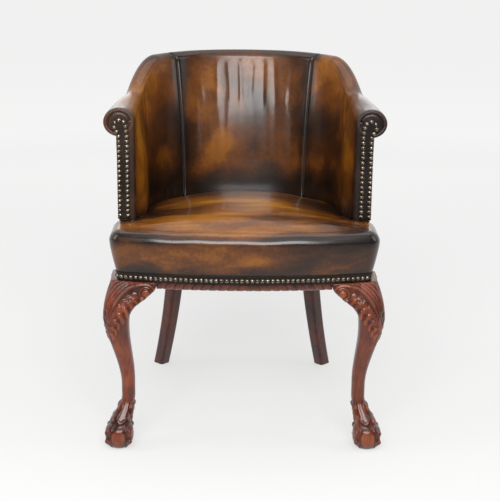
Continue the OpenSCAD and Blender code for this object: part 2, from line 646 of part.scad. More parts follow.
// The leather border in front of the rails, between the cushion and the floor of the seat
module seat_border() color(hide) placed() let (back = arm_front_y - seat_gap,
        inner = front_path(rail_front_in - curve_gap, back), low = front_path(border_bottom_in, back),
        high = front_path(border_top_in, back))
    skin([for (i = [0 : len(inner) - 1]) [[inner[i].x, inner[i].y, rail_bottom_h],
        [inner[i].x, inner[i].y, rail_top_h], [high[i].x, high[i].y, rail_top_h],
        [low[i].x, low[i].y, rail_bottom_h]]]);

// INSIDE PADS
// A hook in section: up the inner face, round the roll, and back along the rail that it covers
seam_low_share = 0.732;
seam_high_share = 0.68;
seam_gap_share = 0.0015;
pad_bottom_h = rail_top_h + seat_gap;
face_steps = 5;
roll_steps = 9;
pad_round = 4.5;
pad_round_share = 0.025;
roll_gap = 1;
function roll_end(u, e = 0) = -acos((rail_out + seat_gap - roll_r(u)) / (roll_r(u) - e));
seam_power = 1.6;
function seam_share(t) = mix(seam_low_share, seam_high_share, pow(t, seam_power));
function pad_outer(u, e) = concat(
    [for (i = [0 : face_steps - 1]) let (z = mix(pad_bottom_h, roll_h(u), i / face_steps))
        wall(u, z, e - swell(u, z))],
    [for (i = [0 : roll_steps]) let (a = mix(180, roll_end(u, e), i / roll_steps), r = roll_r(u))
        wall(u, roll_h(u) + (roll_v(u) - e) * sin(a), r + (r - e) * cos(a))]);
function pad_inner(u, e) = concat(
    [for (i = [0 : face_steps - 1]) wall(u, mix(pad_bottom_h, roll_h(u), i / face_steps), pad_back)],
    [for (i = [0 : roll_steps]) let (t = 3 * i / roll_steps, top = core_top(u) + frame_gap,
        out = frame_out + frame_gap, side = (out - roll_r(u)) / (roll_r(u) - e),
        low = roll_h(u) - (roll_v(u) - e) * sqrt(max(0, 1 - side * side)) + over)
        t <= 1 ? wall(u, mix(roll_h(u), top, t), pad_back)
        : t <= 2 ? wall(u, top, mix(pad_back, out, t - 1))
        : wall(u, mix(top, low, t - 2), out)]);
// Share of the height, along the section, that sets how far a slanted seam has moved
function along(i) = min(1, i / (face_steps + roll_steps / 2));
function pad_ring(u_low, u_high, e) = let (n = face_steps + roll_steps + 1,
        us = [for (i = [0 : n - 1]) mix(u_low, u_high, pow(along(i), seam_power))])
    concat([for (i = [0 : n - 1]) pad_outer(us[i], e)[i]],
        [for (i = [n - 1 : -1 : 0]) pad_inner(us[i], e)[i]]);

function high_share(u) = u * seam_high_share / seam_low_share;

module inside_arm(side) color(hide) placed() mirrored(side)
    skin(concat([pad_ring(0, 0, pad_round)],
        [for (u = stations(pad_round_share, seam_low_share - pad_round_share))
            pad_ring(u, high_share(u), 0)],
        [pad_ring(seam_low_share - seam_gap_share, seam_high_share - seam_gap_share, pad_round)]),
        rungs = true);

module inside_back() color(hide) placed()
    skin(concat([pad_ring(seam_low_share + seam_gap_share, seam_high_share + seam_gap_share, pad_round)],
        [for (u = stations(seam_low_share + pad_round_share, 2 - seam_low_share - pad_round_share))
            pad_ring(u, 1 + (u - 1) * (1 - seam_high_share) / (1 - seam_low_share), 0)],
        [pad_ring(2 - seam_low_share - seam_gap_share, 2 - seam_high_share - seam_gap_share, pad_round)]),
        rungs = true);

// PIPING IN THE SEAMS
piping_sides = 8;
piping_steps = 22;
piping_end_turn = 10;
piping_in = -0.8;
piping_start_h = rim_share_h(seam_low_share) + piping_d / 2;
piping_start_share = (piping_start_h - pad_bottom_h) / (roll_h(seam_low_share) - pad_bottom_h);
piping_face_share = 0.7;
function piping_pt(t) = t < piping_face_share
    ? let (s = mix(piping_start_share, 1, t / piping_face_share), u = seam_share(s * along(face_steps)),
        z = mix(pad_bottom_h, roll_h(u), s)) wall(u, z, -piping_in - swell(u, z))
    : let (a = mix(180, piping_end_turn, (t - piping_face_share) / (1 - piping_face_share)),
        turned_share = (180 - a) / (180 - roll_end(seam_high_share)),
        u = seam_share(along(face_steps + roll_steps * turned_share)), r = roll_r(u))
        wall(u, roll_h(u) + (roll_v(u) + piping_in) * sin(a), r + (r + piping_in) * cos(a));
function unit(v) = v / norm(v);
piping_look_share = 0.01;
function piping_ring(t) = let (p = piping_pt(t),
        d = unit(piping_pt(min(1, t + piping_look_share)) - piping_pt(max(0, t - piping_look_share))),
        a = turn_at(seam_share(t)), x = [-sin(a), cos(a), 0], e = unit(x - (x * d) * d), f = cross(d, e))
    [for (i = [0 : piping_sides - 1]) let (b = 360 * i / piping_sides)
        p + piping_d / 2 * (cos(b) * e + sin(b) * f)];

module piping(side) color(hide_dark) placed() mirrored(side)
    skin([for (i = [0 : piping_steps]) piping_ring(i / piping_steps)]);

// OUTSIDE PANELS
panel_bottom_h = rail_bottom_h;
panel_joint = 0.735;
panel_seam_share = 0.0008;
panel_end = panel_joint - panel_seam_share;
panel_start = panel_joint + panel_seam_share;
function panel_ring(u) = let (z0 = panel_bottom_h, z1 = rail_top_h, o0 = base_o, o1 = outer_o(u, z1),
        o2 = under_roll_o(u), z_in = under_h(u, o2 - panel_t) - roll_gap, z_out = under_h(u, o2) - roll_gap)
    [wall(u, z0, o0 - panel_t), wall(u, z1, o1 - panel_t), wall(u, z_in, o2 - panel_t),
        wall(u, z_out, o2), wall(u, z1, o1), wall(u, z0, o0)];

module outside_arm(side) color(hide) placed() mirrored(side)
    skin([for (u = stations(0, panel_end)) panel_ring(u)]);

module outside_back() color(hide) placed()
    skin([for (u = stations(panel_start, 2 - panel_start)) panel_ring(u)]);

// FRONT OF THE ARMS
facing_edge = 4;
strip_w = 27;
strip_t = 1.6;
facing_bottom_h = cushion_bottom_h;
strip_bottom_h = seat_side_h + nail_h + over;
scroll_x = arm_half + scroll_r;
scroll_h = roll_h(0);
strip_x = arm_half + wall_t - nail_h - strip_w / 2;

module front_plane(y, t) translate([0, y, 0]) rotate([90, 0, 0]) linear_extrude(t) children();

scroll_points = 60;
function scroll_rim(edge) = [for (i = [0 : scroll_points - 1]) let (a = 360 * i / scroll_points)
    [scroll_x + (scroll_r - edge) * cos(a), scroll_h + (scroll_half_h - edge) * sin(a)]];

module scroll_panel(side) color(hide_dark) placed() mirrored(side)
    front_plane(arm_front_y - seat_gap, facing_t - seat_gap) {
        polygon(scroll_rim(facing_edge / 2));
        polygon([[arm_half, facing_bottom_h],
            [arm_half + outer_o(0, facing_bottom_h), facing_bottom_h],
            [arm_half + wall_t, scroll_h], [arm_half + facing_edge / 2, scroll_h],
            [arm_half, scroll_h - scroll_half_h]]);
    }

// The head of the strip is a disc that lies a little outside the strip, under the arch of nails.
arch_out = 6;
arch_half = 12.5;
arch_drop = 7;
arch_join = 20;
arch_x = strip_x + arch_out;
arch_h = scroll_h - arch_drop;
strip_edge = 1;

module facing_strip(side) color(hide_dark) placed() mirrored(side)
    front_plane(arm_front_y - facing_t - seat_gap, strip_t) {
        translate([arch_x, arch_h]) circle(r = arch_half + nail_d / 2 + strip_edge, $fn = 48);
        translate([strip_x - strip_w / 2, strip_bottom_h]) square([strip_w, arch_h - strip_bottom_h]);
    }

// BANDING ROUND THE FOOT OF THE UPHOLSTERY
banding_t = 1.6;
function banding_o(u, z) = outer_o(u, z) + seat_gap;

module banding_front() color(hide_dark) placed()
    let (back = arm_front_y - seat_gap, low = border_bottom_in - seat_gap,
        high = low - (border_bottom_in - border_top_in) * banding_h / rail_h,
        z0 = rail_bottom_h, z1 = rail_bottom_h + banding_h,
        inner = raised(front_path(low, back), z0), inner_top = raised(front_path(high, back), z1),
        outer = raised(front_path(low - banding_t, back), z0),
        outer_top = raised(front_path(high - banding_t, back), z1))
    skin([for (i = [0 : len(inner) - 1]) [inner[i], inner_top[i], outer_top[i], outer[i]]]);

function banding_ring(u) = let (z0 = panel_bottom_h, z1 = panel_bottom_h + banding_h)
    frame_ring_slanted(u, banding_o(u, z0), banding_o(u, z1), z0, z1);
function frame_ring_slanted(u, o0, o1, z0, z1) = [wall(u, z0, o0), wall(u, z1, o1),
    wall(u, z1, o1 + banding_t), wall(u, z0, o0 + banding_t)];

module banding_side(side) color(hide_dark) placed() mirrored(side)
    skin([for (u = stations(0, panel_end)) banding_ring(u)]);

module banding_back() color(hide_dark) placed()
    skin([for (u = stations(panel_start, 2 - panel_start)) banding_ring(u)]);

// NAILS
// A dome that stands on z = 0
nail_sphere_r = (pow(nail_d / 2, 2) + nail_h * nail_h) / (2 * nail_h);
module nail() intersection() {
    translate([0, 0, nail_h - nail_sphere_r]) sphere(r = nail_sphere_r, $fn = 32);
    cylinder(d = nail_d + over, h = nail_h + over, $fn = 32);
}

// Distance along a path of 2D points from its start to each of them
function step_l(path, i) = i < len(path) - 1 ? norm(path[i + 1] - path[i]) : 0;
function lengths(path) = [for (i = 0, s = 0; i < len(path); s = s + step_l(path, i), i = i + 1) s];
// Places at equal steps along the path: each is a point and the direction of the path there.
function spread(path, pitch, margin) = let (s = lengths(path), total = s[len(s) - 1],
        n = floor((total - 2 * margin) / pitch), start = (total - n * pitch) / 2,
        xs = [for (i = [0 : len(path) - 1]) [s[i], path[i].x]],
        ys = [for (i = [0 : len(path) - 1]) [s[i], path[i].y]])
    [for (i = [0 : n]) let (a = start + i * pitch, b = a + pitch / 8,
        dx = lookup(b, xs) - lookup(a, xs), dy = lookup(b, ys) - lookup(a, ys))
        [lookup(a, xs), lookup(a, ys), atan2(dy, dx)]];

// Nails that point outwards from a path in plan, which has the chair on its left
module plan_nails(path, z, tilt, pitch = nail_pitch) for (p = spread(path, pitch, nail_d / 2))
    translate([p[0], p[1], z]) rotate([90 - tilt, 0, p[2]]) nail();

nail_line_h = rail_bottom_h + banding_h * 0.45;
nail_lift = banding_t + 2 * seat_gap;
front_lean = atan((border_bottom_in - border_top_in) / rail_h);
side_lean = atan(taper_in / (arm_top_h - rail_bottom_h));

module nails_front() color(brass) placed()
    plan_nails(front_path(border_bottom_in - nail_lift - tan(front_lean) * (nail_line_h - rail_bottom_h),
        arm_front_y - seat_gap), nail_line_h, -front_lean);

function wall_path(u0, u1, z, lift) = [for (u = stations(u0, u1))
    let (p = wall(u, z, outer_o(u, z) + lift)) [p.x, p.y]];

module nails_side(side) color(brass) placed() mirrored(side)
    plan_nails(wall_path(0, panel_joint, nail_line_h, nail_lift), nail_line_h, -side_lean);

module nails_back() color(brass) placed()
    plan_nails(wall_path(panel_joint, 2 - panel_joint, nail_line_h, nail_lift), nail_line_h, -side_lean);

// Two rows up the front of the arm, joined in an arch inside the scroll
arch_steps = 14;
arch_turn = 205;
row_half = strip_w / 2 - nail_d / 2;
arm_nail_path = concat([[strip_x - row_half, strip_bottom_h], [strip_x - row_half, arch_h - arch_join]],
    [for (i = [0 : arch_steps]) let (a = 180 - arch_turn * i / arch_steps)
        [arch_x, arch_h] + arch_half * [cos(a), sin(a)]],
    [[strip_x + row_half, arch_h - arch_join], [strip_x + row_half, strip_bottom_h]]);

module nails_arm(side) color(brass) placed() mirrored(side)
    for (p = spread(arm_nail_path, nail_pitch, nail_d / 2))
        translate([p[0], arm_front_y - facing_t - 2 * seat_gap - strip_t, p[1]]) rotate([90, 0, 0]) nail();

for (side = [-1, 1]) let (tail = side < 0 ? "_left" : "_right") {
    front_leg(side);
    ear_front(side);
    ear_side(side);
    back_leg(side);
    side_rail(side);
    corner_block_front(side);
    corner_block_back(side);
    arm_post(side);
    back_post(side);
    arm_rail(side);
    inside_arm(side);
    outside_arm(side);
    piping(side);
    scroll_panel(side);
    facing_strip(side);
    banding_side(side);
    nails_side(side);
    nails_arm(side);
}
front_rail();
back_rail();
gadroon_moulding();
crest_rail();
webbing_lengthwise();
webbing_across();
seat_springs();
spring_canvas();
bottom_cloth();
seat_cushion();
seat_border();
inside_back();
outside_back();
banding_front();
banding_back();
nails_front();
nails_back();
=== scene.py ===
import math
import bpy
import numpy as np
from mathutils import Matrix, Vector
from mathutils.geometry import tessellate_polygon
from mathutils.kdtree import KDTree


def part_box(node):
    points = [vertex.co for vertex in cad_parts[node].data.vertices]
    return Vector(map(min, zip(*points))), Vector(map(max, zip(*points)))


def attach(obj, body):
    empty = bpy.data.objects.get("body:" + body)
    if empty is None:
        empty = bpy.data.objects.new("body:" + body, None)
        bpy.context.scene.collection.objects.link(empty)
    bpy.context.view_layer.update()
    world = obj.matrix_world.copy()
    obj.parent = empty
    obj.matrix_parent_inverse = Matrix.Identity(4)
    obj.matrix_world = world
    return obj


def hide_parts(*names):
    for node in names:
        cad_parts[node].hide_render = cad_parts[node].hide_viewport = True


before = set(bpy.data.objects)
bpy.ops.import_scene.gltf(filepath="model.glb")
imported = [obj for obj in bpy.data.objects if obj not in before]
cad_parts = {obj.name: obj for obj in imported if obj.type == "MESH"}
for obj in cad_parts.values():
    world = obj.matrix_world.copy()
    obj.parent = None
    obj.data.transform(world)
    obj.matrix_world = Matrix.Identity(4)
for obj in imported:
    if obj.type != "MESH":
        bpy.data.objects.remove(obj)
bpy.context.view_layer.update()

# Sizes of the chair in millimetres, the same as in the part's source. Here the middle of the front feet is
# at y = 0, and the middle of the whole chair at y = MID_Y.
MID_Y = 255.044
SEAT_W, SEAT_BOW, SEAT_CORNER_R, SEAT_REACH = 586, 30, 32, 20
SEAT_EDGE_H, SEAT_SIDE_H, SEAT_CROWN_H, SEAT_BACK_H = 478, 503, 522, 494
INNER_W, ARM_FRONT_Y, BACK_INNER_Y, BACK_RAKE = 482, 85, 465, 7.5
WALL_T, BACK_WALL_T, TUB_R = 42, 36, 200
ARM_TOP_H, BACK_TOP_H, SCROLL_R, SCROLL_V, CREST_R, PAD_SWELL = 753, 841, 34, 31, 20, 18
RAIL_BOTTOM_H, RAIL_H, RAIL_T = 390, 54, 25
FOOT_INSET, BALL_R, TOE_H, FOOT_H, ANKLE_HALF, KNEE_HALF = 14.5, 32, 9.5, 108, 15, 27.5
ANKLE_IN, KNEE_OUT, LEG_TOP_W = 20.5, 16, 45
EAR_L, EAR_T, EAR_SIDE_T, EAR_RISE, EAR_OUT, EYE_R, EYE_IN, EYE_DROP = 60, 30, 26, 80, 19, 8.5, 22.5, 24.5
BACK_FOOT_OUT, BACK_FOOT_BACK, BACK_FOOT_W, BACK_FOOT_T = 51, 112, 34, 29
BACK_LEG_TOP_W, BACK_LEG_TOP_T, BACK_LEG_IN = 33, 39, 16.5
NAIL_D, NAIL_H, BANDING_H, GADROON_H, GADROON_PITCH, PIPING_D = 9.6, 3, 20, 17, 19.7, 6
WEB_W, WEB_X, WEB_Y0, WEB_STEP = 50, 112, 100, 84
GAP, CURVE_GAP = 0.3, 0.6

# What follows from them
ARM_HALF = INNER_W / 2
STRAIGHT, CORNER, TURN = 0.354, 0.856, 72
ARC_STEP = (ARM_HALF - TUB_R) / math.cos(math.radians(TURN))
BACK_ARC_R = TUB_R + ARC_STEP
RAIL_TOP_H = RAIL_BOTTOM_H + RAIL_H
TAPER_IN, PANEL_T, LINING_T, FACING_T = 7, 3, 12, 6
FRAME_OUT = WALL_T - TAPER_IN - PANEL_T - GAP
FRAME_IN = FRAME_OUT - RAIL_T
PAD_BACK = LINING_T - 1
BASE_O = WALL_T - TAPER_IN
SEAT_HALF = SEAT_W / 2
BOW_FROM = SEAT_HALF - SEAT_CORNER_R
BOW_HALF = BOW_FROM + SEAT_CORNER_R * math.sin(math.atan(2 * SEAT_BOW / BOW_FROM))
BOW_TURN = math.degrees(math.atan(2 * SEAT_BOW / BOW_HALF))
SEAT_CORNER_Y = -SEAT_REACH + SEAT_CORNER_R * math.cos(math.radians(BOW_TURN))
FACING_BACK_Y = ARM_FRONT_Y - GAP
SCROLL_Y = ARM_FRONT_Y - FACING_T
EAR_BACK_Y = SCROLL_Y - GAP
BORDER_IN = SEAT_HALF - ARM_HALF - BASE_O
RAIL_FRONT_IN = SEAT_HALF - ARM_HALF - FRAME_OUT
RAIL_FACE_Y = -SEAT_REACH + RAIL_FRONT_IN
GADROON_BACK = RAIL_FRONT_IN + 14
FOOT_X = SEAT_HALF - FOOT_INSET
LEG_H = RAIL_BOTTOM_H - GAP
KNEE_H = LEG_H * 0.785
SHIN_H = FOOT_H * 1.35
BALL_MID, BALL_REACH = BALL_R * 0.97, BALL_R * 1.05
POST_OUT_X = ARM_HALF + FRAME_OUT
POST_IN_X = POST_OUT_X - LEG_TOP_W
POST_BACK_Y = RAIL_FACE_Y + LEG_TOP_W
TOP_HALF = (LEG_TOP_W + KNEE_OUT) / 2
TOP_IN = FOOT_X - POST_IN_X - TOP_HALF
EAR_END_X = FOOT_X - KNEE_HALF - EAR_L
CUSHION_BOTTOM_H = RAIL_TOP_H + GAP
SCROLL_X, SCROLL_H = ARM_HALF + SCROLL_R, ARM_TOP_H - SCROLL_V

# Shares of the way round the tub: where the seam between arm and back starts and ends, the joint of the
# outside panels, the back legs, and where the roll is as slim as at the back. TUB_L is one half's length.
SEAM_LOW, SEAM_HIGH, SEAM_POWER, SEAM_GAP = 0.732, 0.68, 1.6, 0.0015
PANEL_JOINT, JOINT_GAP = 0.735, 0.0008
LEG_SHARE, ROLL_SHARE = 0.732, 0.42
TUB_L = 545


def smooth(t):
    c = np.clip(t, 0, 1)
    return c * c * (3 - 2 * c)


def mix(a, b, t):
    return a + (b - a) * t


def bell(t, w):
    return np.exp(-(np.asarray(t, float) / w) ** 2)


def cosd(a):
    return np.cos(np.radians(a))


def sind(a):
    return np.sin(np.radians(a))


def rounded(t):
    """How far a quarter circle of radius 1 has fallen at a distance from its top."""
    return 1 - np.sqrt(np.maximum(0, 1 - np.square(t)))


def squarish(a, k):
    """Radius of a rounded square at an angle, rounder for a small k."""
    return 1 / (np.abs(cosd(a)) ** k + np.abs(sind(a)) ** k) ** (1 / k)


def streak(x, y, angle, length, width, shift=0.0):
    """A long bell at an angle, for a fold."""
    c, s = cosd(angle), sind(angle)
    return bell(x * c + y * s, length) * bell(y * c - x * s - shift, width)


# Plan of the tub: a share u runs from the front of the right arm, 0, to the middle of the back, 1, and on
# to 2. o is a distance outwards from the inner face.
def corner_y(z):
    back = BACK_INNER_Y + (np.maximum(z, RAIL_TOP_H) - SEAT_BACK_H) * math.tan(math.radians(BACK_RAKE))
    return back - TUB_R - ARC_STEP * (1 - math.sin(math.radians(TURN)))


def turn_at(u):
    return np.where(u < STRAIGHT, 0, np.where(u < CORNER, TURN * (u - STRAIGHT) / (CORNER - STRAIGHT),
                                              mix(TURN, 90, (u - CORNER) / (1 - CORNER))))


def half_of(u):
    return np.where(u <= 1, u, 2 - u)


def wall(u, z, o):
    u, z, o = np.broadcast_arrays(np.asarray(u, float), np.asarray(z, float), np.asarray(o, float))
    h, side = half_of(u), np.where(u <= 1, 1, -1)
    a, y = turn_at(h), corner_y(z)
    straight, corner = h < STRAIGHT, h < CORNER
    xx = np.where(straight, ARM_HALF + o,
                  np.where(corner, ARM_HALF - TUB_R + (TUB_R + o) * cosd(a), (BACK_ARC_R + o) * cosd(a)))
    yy = np.where(straight, mix(ARM_FRONT_Y, y, h / STRAIGHT),
                  np.where(corner, y + (TUB_R + o) * sind(a),
                           y - ARC_STEP * sind(TURN) + (BACK_ARC_R + o) * sind(a)))
    return np.stack([xx * side, yy, z], -1)


def top_h(u):
    h = half_of(u)
    return (ARM_TOP_H + 9 * smooth(h / 0.3) + (BACK_TOP_H - 5 - ARM_TOP_H - 9) * smooth((h - 0.346) / 0.262)
            + 5 * sind(90 * np.maximum(0, h - 0.608) / 0.392))


def towards_back(at_arm, at_back, u):
    return mix(at_arm, at_back, smooth(half_of(u) / ROLL_SHARE))


def roll_r(u):
    return towards_back(SCROLL_R, CREST_R, u)


def roll_v(u):
    return towards_back(SCROLL_V, CREST_R, u)


def roll_h(u):
    return top_h(u) - roll_v(u)


def under_h(u, o):
    return roll_h(u) - roll_v(u) * (1 - rounded(o / roll_r(u) - 1))


def under_roll_o(u):
    return towards_back(WALL_T, BACK_WALL_T, u)


def outer_o(u, z):
    return mix(BASE_O, under_roll_o(u), np.clip((z - RAIL_BOTTOM_H) / (ARM_TOP_H - RAIL_BOTTOM_H), 0, 1))


def swell(u, z):
    c = np.clip((z - SEAT_BACK_H) / (roll_h(u) - SEAT_BACK_H), 0, 1)
    return PAD_SWELL * smooth((half_of(u) - 0.04) / 0.16) * (1 - c * c)


# Points in plan
def behind_bow(x, y):
    """How far a point lies behind the front edge of the seat."""
    return y + SEAT_REACH + SEAT_BOW * (1 - (x / BOW_HALF) ** 2)


def bow_pt(x, inset):
    a = np.degrees(np.arctan(2 * SEAT_BOW * x / BOW_HALF ** 2))
    return np.stack([x - inset * sind(a), inset * cosd(a) - behind_bow(x, 0)], -1)


def front_half(inset, back, counts):
    """The front edge of the seat from its middle round the corner to a depth."""
    bow, corner, side = counts
    a = mix(-90 + BOW_TURN, 0, np.arange(corner + 1) / corner)
    r = SEAT_CORNER_R - inset
    arc = np.stack([BOW_FROM + r * cosd(a), SEAT_CORNER_Y + r * sind(a)], -1)
    t = np.arange(1, side + 1) / side
    beside = np.stack([np.full(side, SEAT_HALF - inset), mix(SEAT_CORNER_Y, back, t)], -1)
    return np.concatenate([bow_pt(BOW_HALF * (np.arange(bow) + 0.5) / bow, inset), arc, beside])


def mirrored(pts):
    return pts * np.where(np.arange(pts.shape[-1]) == 0, -1.0, 1.0)


def whole(half):
    """The points of the right half, and then those of the left half back again."""
    return np.concatenate([half, mirrored(half[::-1])])


def at_height(xy, z):
    return np.concatenate([xy, np.broadcast_to(z, xy.shape[:-1])[..., None]], -1)


def area_of(outline):
    x, y = outline.T
    return 0.5 * np.sum(x * np.roll(y, -1) - np.roll(x, -1) * y)


# Meshes: a mesh is its points in millimetres and a list of arrays of faces.
def outward(pts, faces):
    """The faces of a closed skin, turned so that they look outwards."""
    inside = sum(np.einsum("ij,ij->i", pts[f[:, 0]], np.cross(pts[f[:, k]], pts[f[:, k + 1]])).sum()
                 for f in faces for k in range(1, f.shape[1] - 1))
    return [f[:, ::-1] if inside < 0 else f for f in faces]


def ladder(ring):
    """Closes a ring that folds back along itself."""
    n = len(ring)
    k = np.arange(n // 2 - 1)
    return np.stack([k, k + 1, n - 2 - k, n - 1 - k], -1)


def filled(ring):
    """Triangles that close a ring of any outline, for one that bends back on itself."""
    q = ring - ring.mean(0)
    nrm = np.cross(q, np.roll(q, -1, 0)).sum(0)
    nrm /= np.linalg.norm(nrm)
    e = np.cross(nrm, (0.0, 0.0, 1.0))
    e /= np.linalg.norm(e)
    flat = np.stack([q @ e, q @ np.cross(nrm, e)], -1)
    tri = np.array(tessellate_polygon([[Vector((x, y, 0)) for x, y in flat]]))
    a, b, c = flat[tri[:, 0]], flat[tri[:, 1]], flat[tri[:, 2]]
    area = (b[:, 0] - a[:, 0]) * (c[:, 1] - a[:, 1]) - (b[:, 1] - a[:, 1]) * (c[:, 0] - a[:, 0])
    return np.where((area < 0)[:, None], tri[:, ::-1], tri)


def tube_mesh(rings, cap=ladder):
    """A closed skin through rings of n points. A cap of None closes each end with a fan round its middle."""
    rings = np.asarray(rings, float)
    m, n = rings.shape[:2]
    pts = rings.reshape(-1, 3)
    i, j = np.meshgrid(np.arange(m - 1) * n, np.arange(n), indexing="ij")
    nxt = (j + 1) % n
    faces = [np.stack([i + j, i + n + j, i + n + nxt, i + nxt], -1).reshape(-1, 4)]
    last = (m - 1) * n
    if cap:
        return pts, faces + [cap(rings[0]), cap(rings[-1])[:, ::-1] + last]
    k, far = np.arange(n), (np.arange(n) + 1) % n
    faces += [np.stack([k * 0 + m * n, k, far], -1), np.stack([last + far, last + k, k * 0 + m * n + 1], -1)]
    return np.concatenate([pts, rings[:1].mean(1), rings[-1:].mean(1)]), faces


def joined(meshes):
    """Several meshes as one."""
    faces, base = [], 0
    for pts, part in meshes:
        faces += [f + base for f in outward(pts, part)]
        base += len(pts)
    return np.concatenate([m[0] for m in meshes]), faces


def piece(name, mesh, material, nodes, slot, **layers):
    """A visible piece that stands for its CAD nodes. A layer is a number for each point, or one for all."""
    pts, faces = mesh[0], outward(*mesh)
    loops = np.concatenate([f.ravel() for f in faces]).astype(np.int32)
    sizes = np.concatenate([np.full(len(f), f.shape[1]) for f in faces]).astype(np.int32)
    me = bpy.data.meshes.new(name)
    me.vertices.add(len(pts))
    me.vertices.foreach_set("co", ((pts - (0, MID_Y, 0)) / 1000).ravel())
    me.loops.add(len(loops))
    me.loops.foreach_set("vertex_index", loops)
    me.polygons.add(len(sizes))
    me.polygons.foreach_set("loop_start", np.cumsum(sizes, dtype=np.int32) - sizes)
    me.polygons.foreach_set("loop_total", sizes)
    me.update(calc_edges=True)
    me.validate()
    me.polygons.foreach_set("use_smooth", np.ones(len(me.polygons), bool))
    for key, values in layers.items():
        values = np.asarray(values, np.float32).ravel() * np.ones(len(pts), np.float32)
        me.attributes.new(key, "FLOAT", "POINT").data.foreach_set("value", values)
    me.materials.append(material)
    ob = bpy.data.objects.new(name, me)
    bpy.context.scene.collection.objects.link(ob)
    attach(ob, "root")
    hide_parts(*nodes)
    return ob


def pair(name, mesh, material, node, slot, **layers):
    """The right piece and its mirror image."""
    pts, faces = mesh
    for side, p in (("_right", pts), ("_left", mirrored(pts))):
        piece(name + side, (p, faces), material, [node + side], slot, **layers)


# Materials
def assign(target, **values):
    for key, value in values.items():
        setattr(target, key, value)
    return target


def feed(nt, n, inputs):
    """Sets a node's inputs to values, or links them to other nodes' outputs."""
    for key, value in inputs.items():
        if isinstance(value, bpy.types.NodeSocket):
            nt.links.new(value, n.inputs[key])
        else:
            n.inputs[key].default_value = value
    return n


def node(nt, kind, inputs, **settings):
    return feed(nt, assign(nt.nodes.new("ShaderNode" + kind), **settings), inputs)


def new_surface(name):
    m = bpy.data.materials.new(name)
    m.use_nodes = True
    m.node_tree.nodes.clear()
    return m, m.node_tree


def finished(m, bsdf_inputs):
    """Gives a material its principled shader."""
    nt = m.node_tree
    node(nt, "OutputMaterial", {0: node(nt, "BsdfPrincipled", bsdf_inputs).outputs[0]})
    return m


def coords(nt, scale=(1, 1, 1)):
    place = node(nt, "TexCoord", {}).outputs["Object"]
    return node(nt, "Mapping", {"Vector": place, "Scale": scale}).outputs[0]


def noise(nt, vec, scale, detail=4.0, rough=0.55, distort=0.0):
    return node(nt, "TexNoise", {"Vector": vec, "Scale": scale, "Detail": detail, "Roughness": rough,
                                 "Distortion": distort}).outputs["Fac"]


def calc(nt, op, a, b, clamp=False):
    return node(nt, "Math", {0: a, 1: b}, operation=op, use_clamp=clamp).outputs[0]


def weighted(nt, terms, clamp=False):
    """The sum of terms, each with its weight."""
    total, *rest = [calc(nt, "MULTIPLY", fac, share) for fac, share in terms]
    for part in rest:
        total = calc(nt, "ADD", total, part, clamp)
    return total


def span(nt, x, a, b, c, d):
    """Takes the range from a to b to the range from c to d."""
    return node(nt, "MapRange", {0: x, 1: a, 2: b, 3: c, 4: d}).outputs[0]


def attribute(nt, name):
    return node(nt, "Attribute", {}, attribute_name=name).outputs["Fac"]


def ramp(nt, fac, stops):
    n = node(nt, "ValToRGB", {0: fac})
    e = n.color_ramp.elements
    while len(e) < len(stops):
        e.new(0.5)
    for el, (at, text) in zip(e, stops):
        c = [int(text[i:i + 2], 16) / 255 for i in (0, 2, 4)]
        linear = [x / 12.92 if x <= 0.04045 else ((x + 0.055) / 1.055) ** 2.4 for x in c]
        assign(el, position=at, color=linear + [1])
    return n.outputs[0]


def bumps(nt, layers):
    """A normal roughened by heights, each with a distance and a strength, one upon the other."""
    normal = None
    for height, distance, strength in layers:
        inputs = {"Height": height, "Distance": distance, "Strength": strength}
        normal = node(nt, "Bump", {**inputs, **({"Normal": normal} if normal else {})}).outputs[0]
    return normal


def leather(name, stops, mottling, rough=(0.3, 0.42), coat=0.5, stretch=(1, 1, 1), haze=0.16):
    """Hand-dyed hide: soft clouds of colour, darker where its layer of darker tone and painted shade is high
    and paler where glow is, a paler tone and in places a painted highlight, with a fine pebble and shallow
    wrinkles."""
    m, nt = new_surface(name)
    vec, drawn_out = coords(nt), coords(nt, stretch)
    mid = noise(nt, drawn_out, 17, 3, 0.55, 0.5)
    clouds = weighted(nt, [(noise(nt, drawn_out, 5.5, 2, 0.5, 0.4), 0.64), (mid, 0.26),
                           (noise(nt, vec, 120, 3, 0.6), 0.1)])
    tone = span(nt, clouds, 0.36, 0.64, 0.5 - mottling, 0.5 + mottling)
    # painted shade and a darker tone darken the colour here; the glow layer pales it, in places as a painted
    # highlight
    tone = calc(nt, "SUBTRACT", tone, calc(nt, "MULTIPLY", attribute(nt, "shade"), 0.5), True)
    tone = calc(nt, "ADD", tone, attribute(nt, "glow"), True)
    cell = node(nt, "TexVoronoi", {"Vector": vec, "Scale": 620}, feature="DISTANCE_TO_EDGE")
    normal = bumps(nt, [(span(nt, cell.outputs["Distance"], 0.0, 0.28, 0, 1), 0.00018, 0.5),
                        (noise(nt, coords(nt, (1, 1, 0.45)), 75, 4, 0.6, 0.8), 0.0007, 0.5),
                        (noise(nt, vec, 17, 2, 0.5), 0.0032, 0.5)])
    return finished(m, {"Base Color": ramp(nt, tone, stops), "Roughness": span(nt, mid, 0.3, 0.7, *rough),
                        "Coat Weight": coat, "Coat Roughness": haze, "Specular IOR Level": 0.18,
                        "Normal": normal})


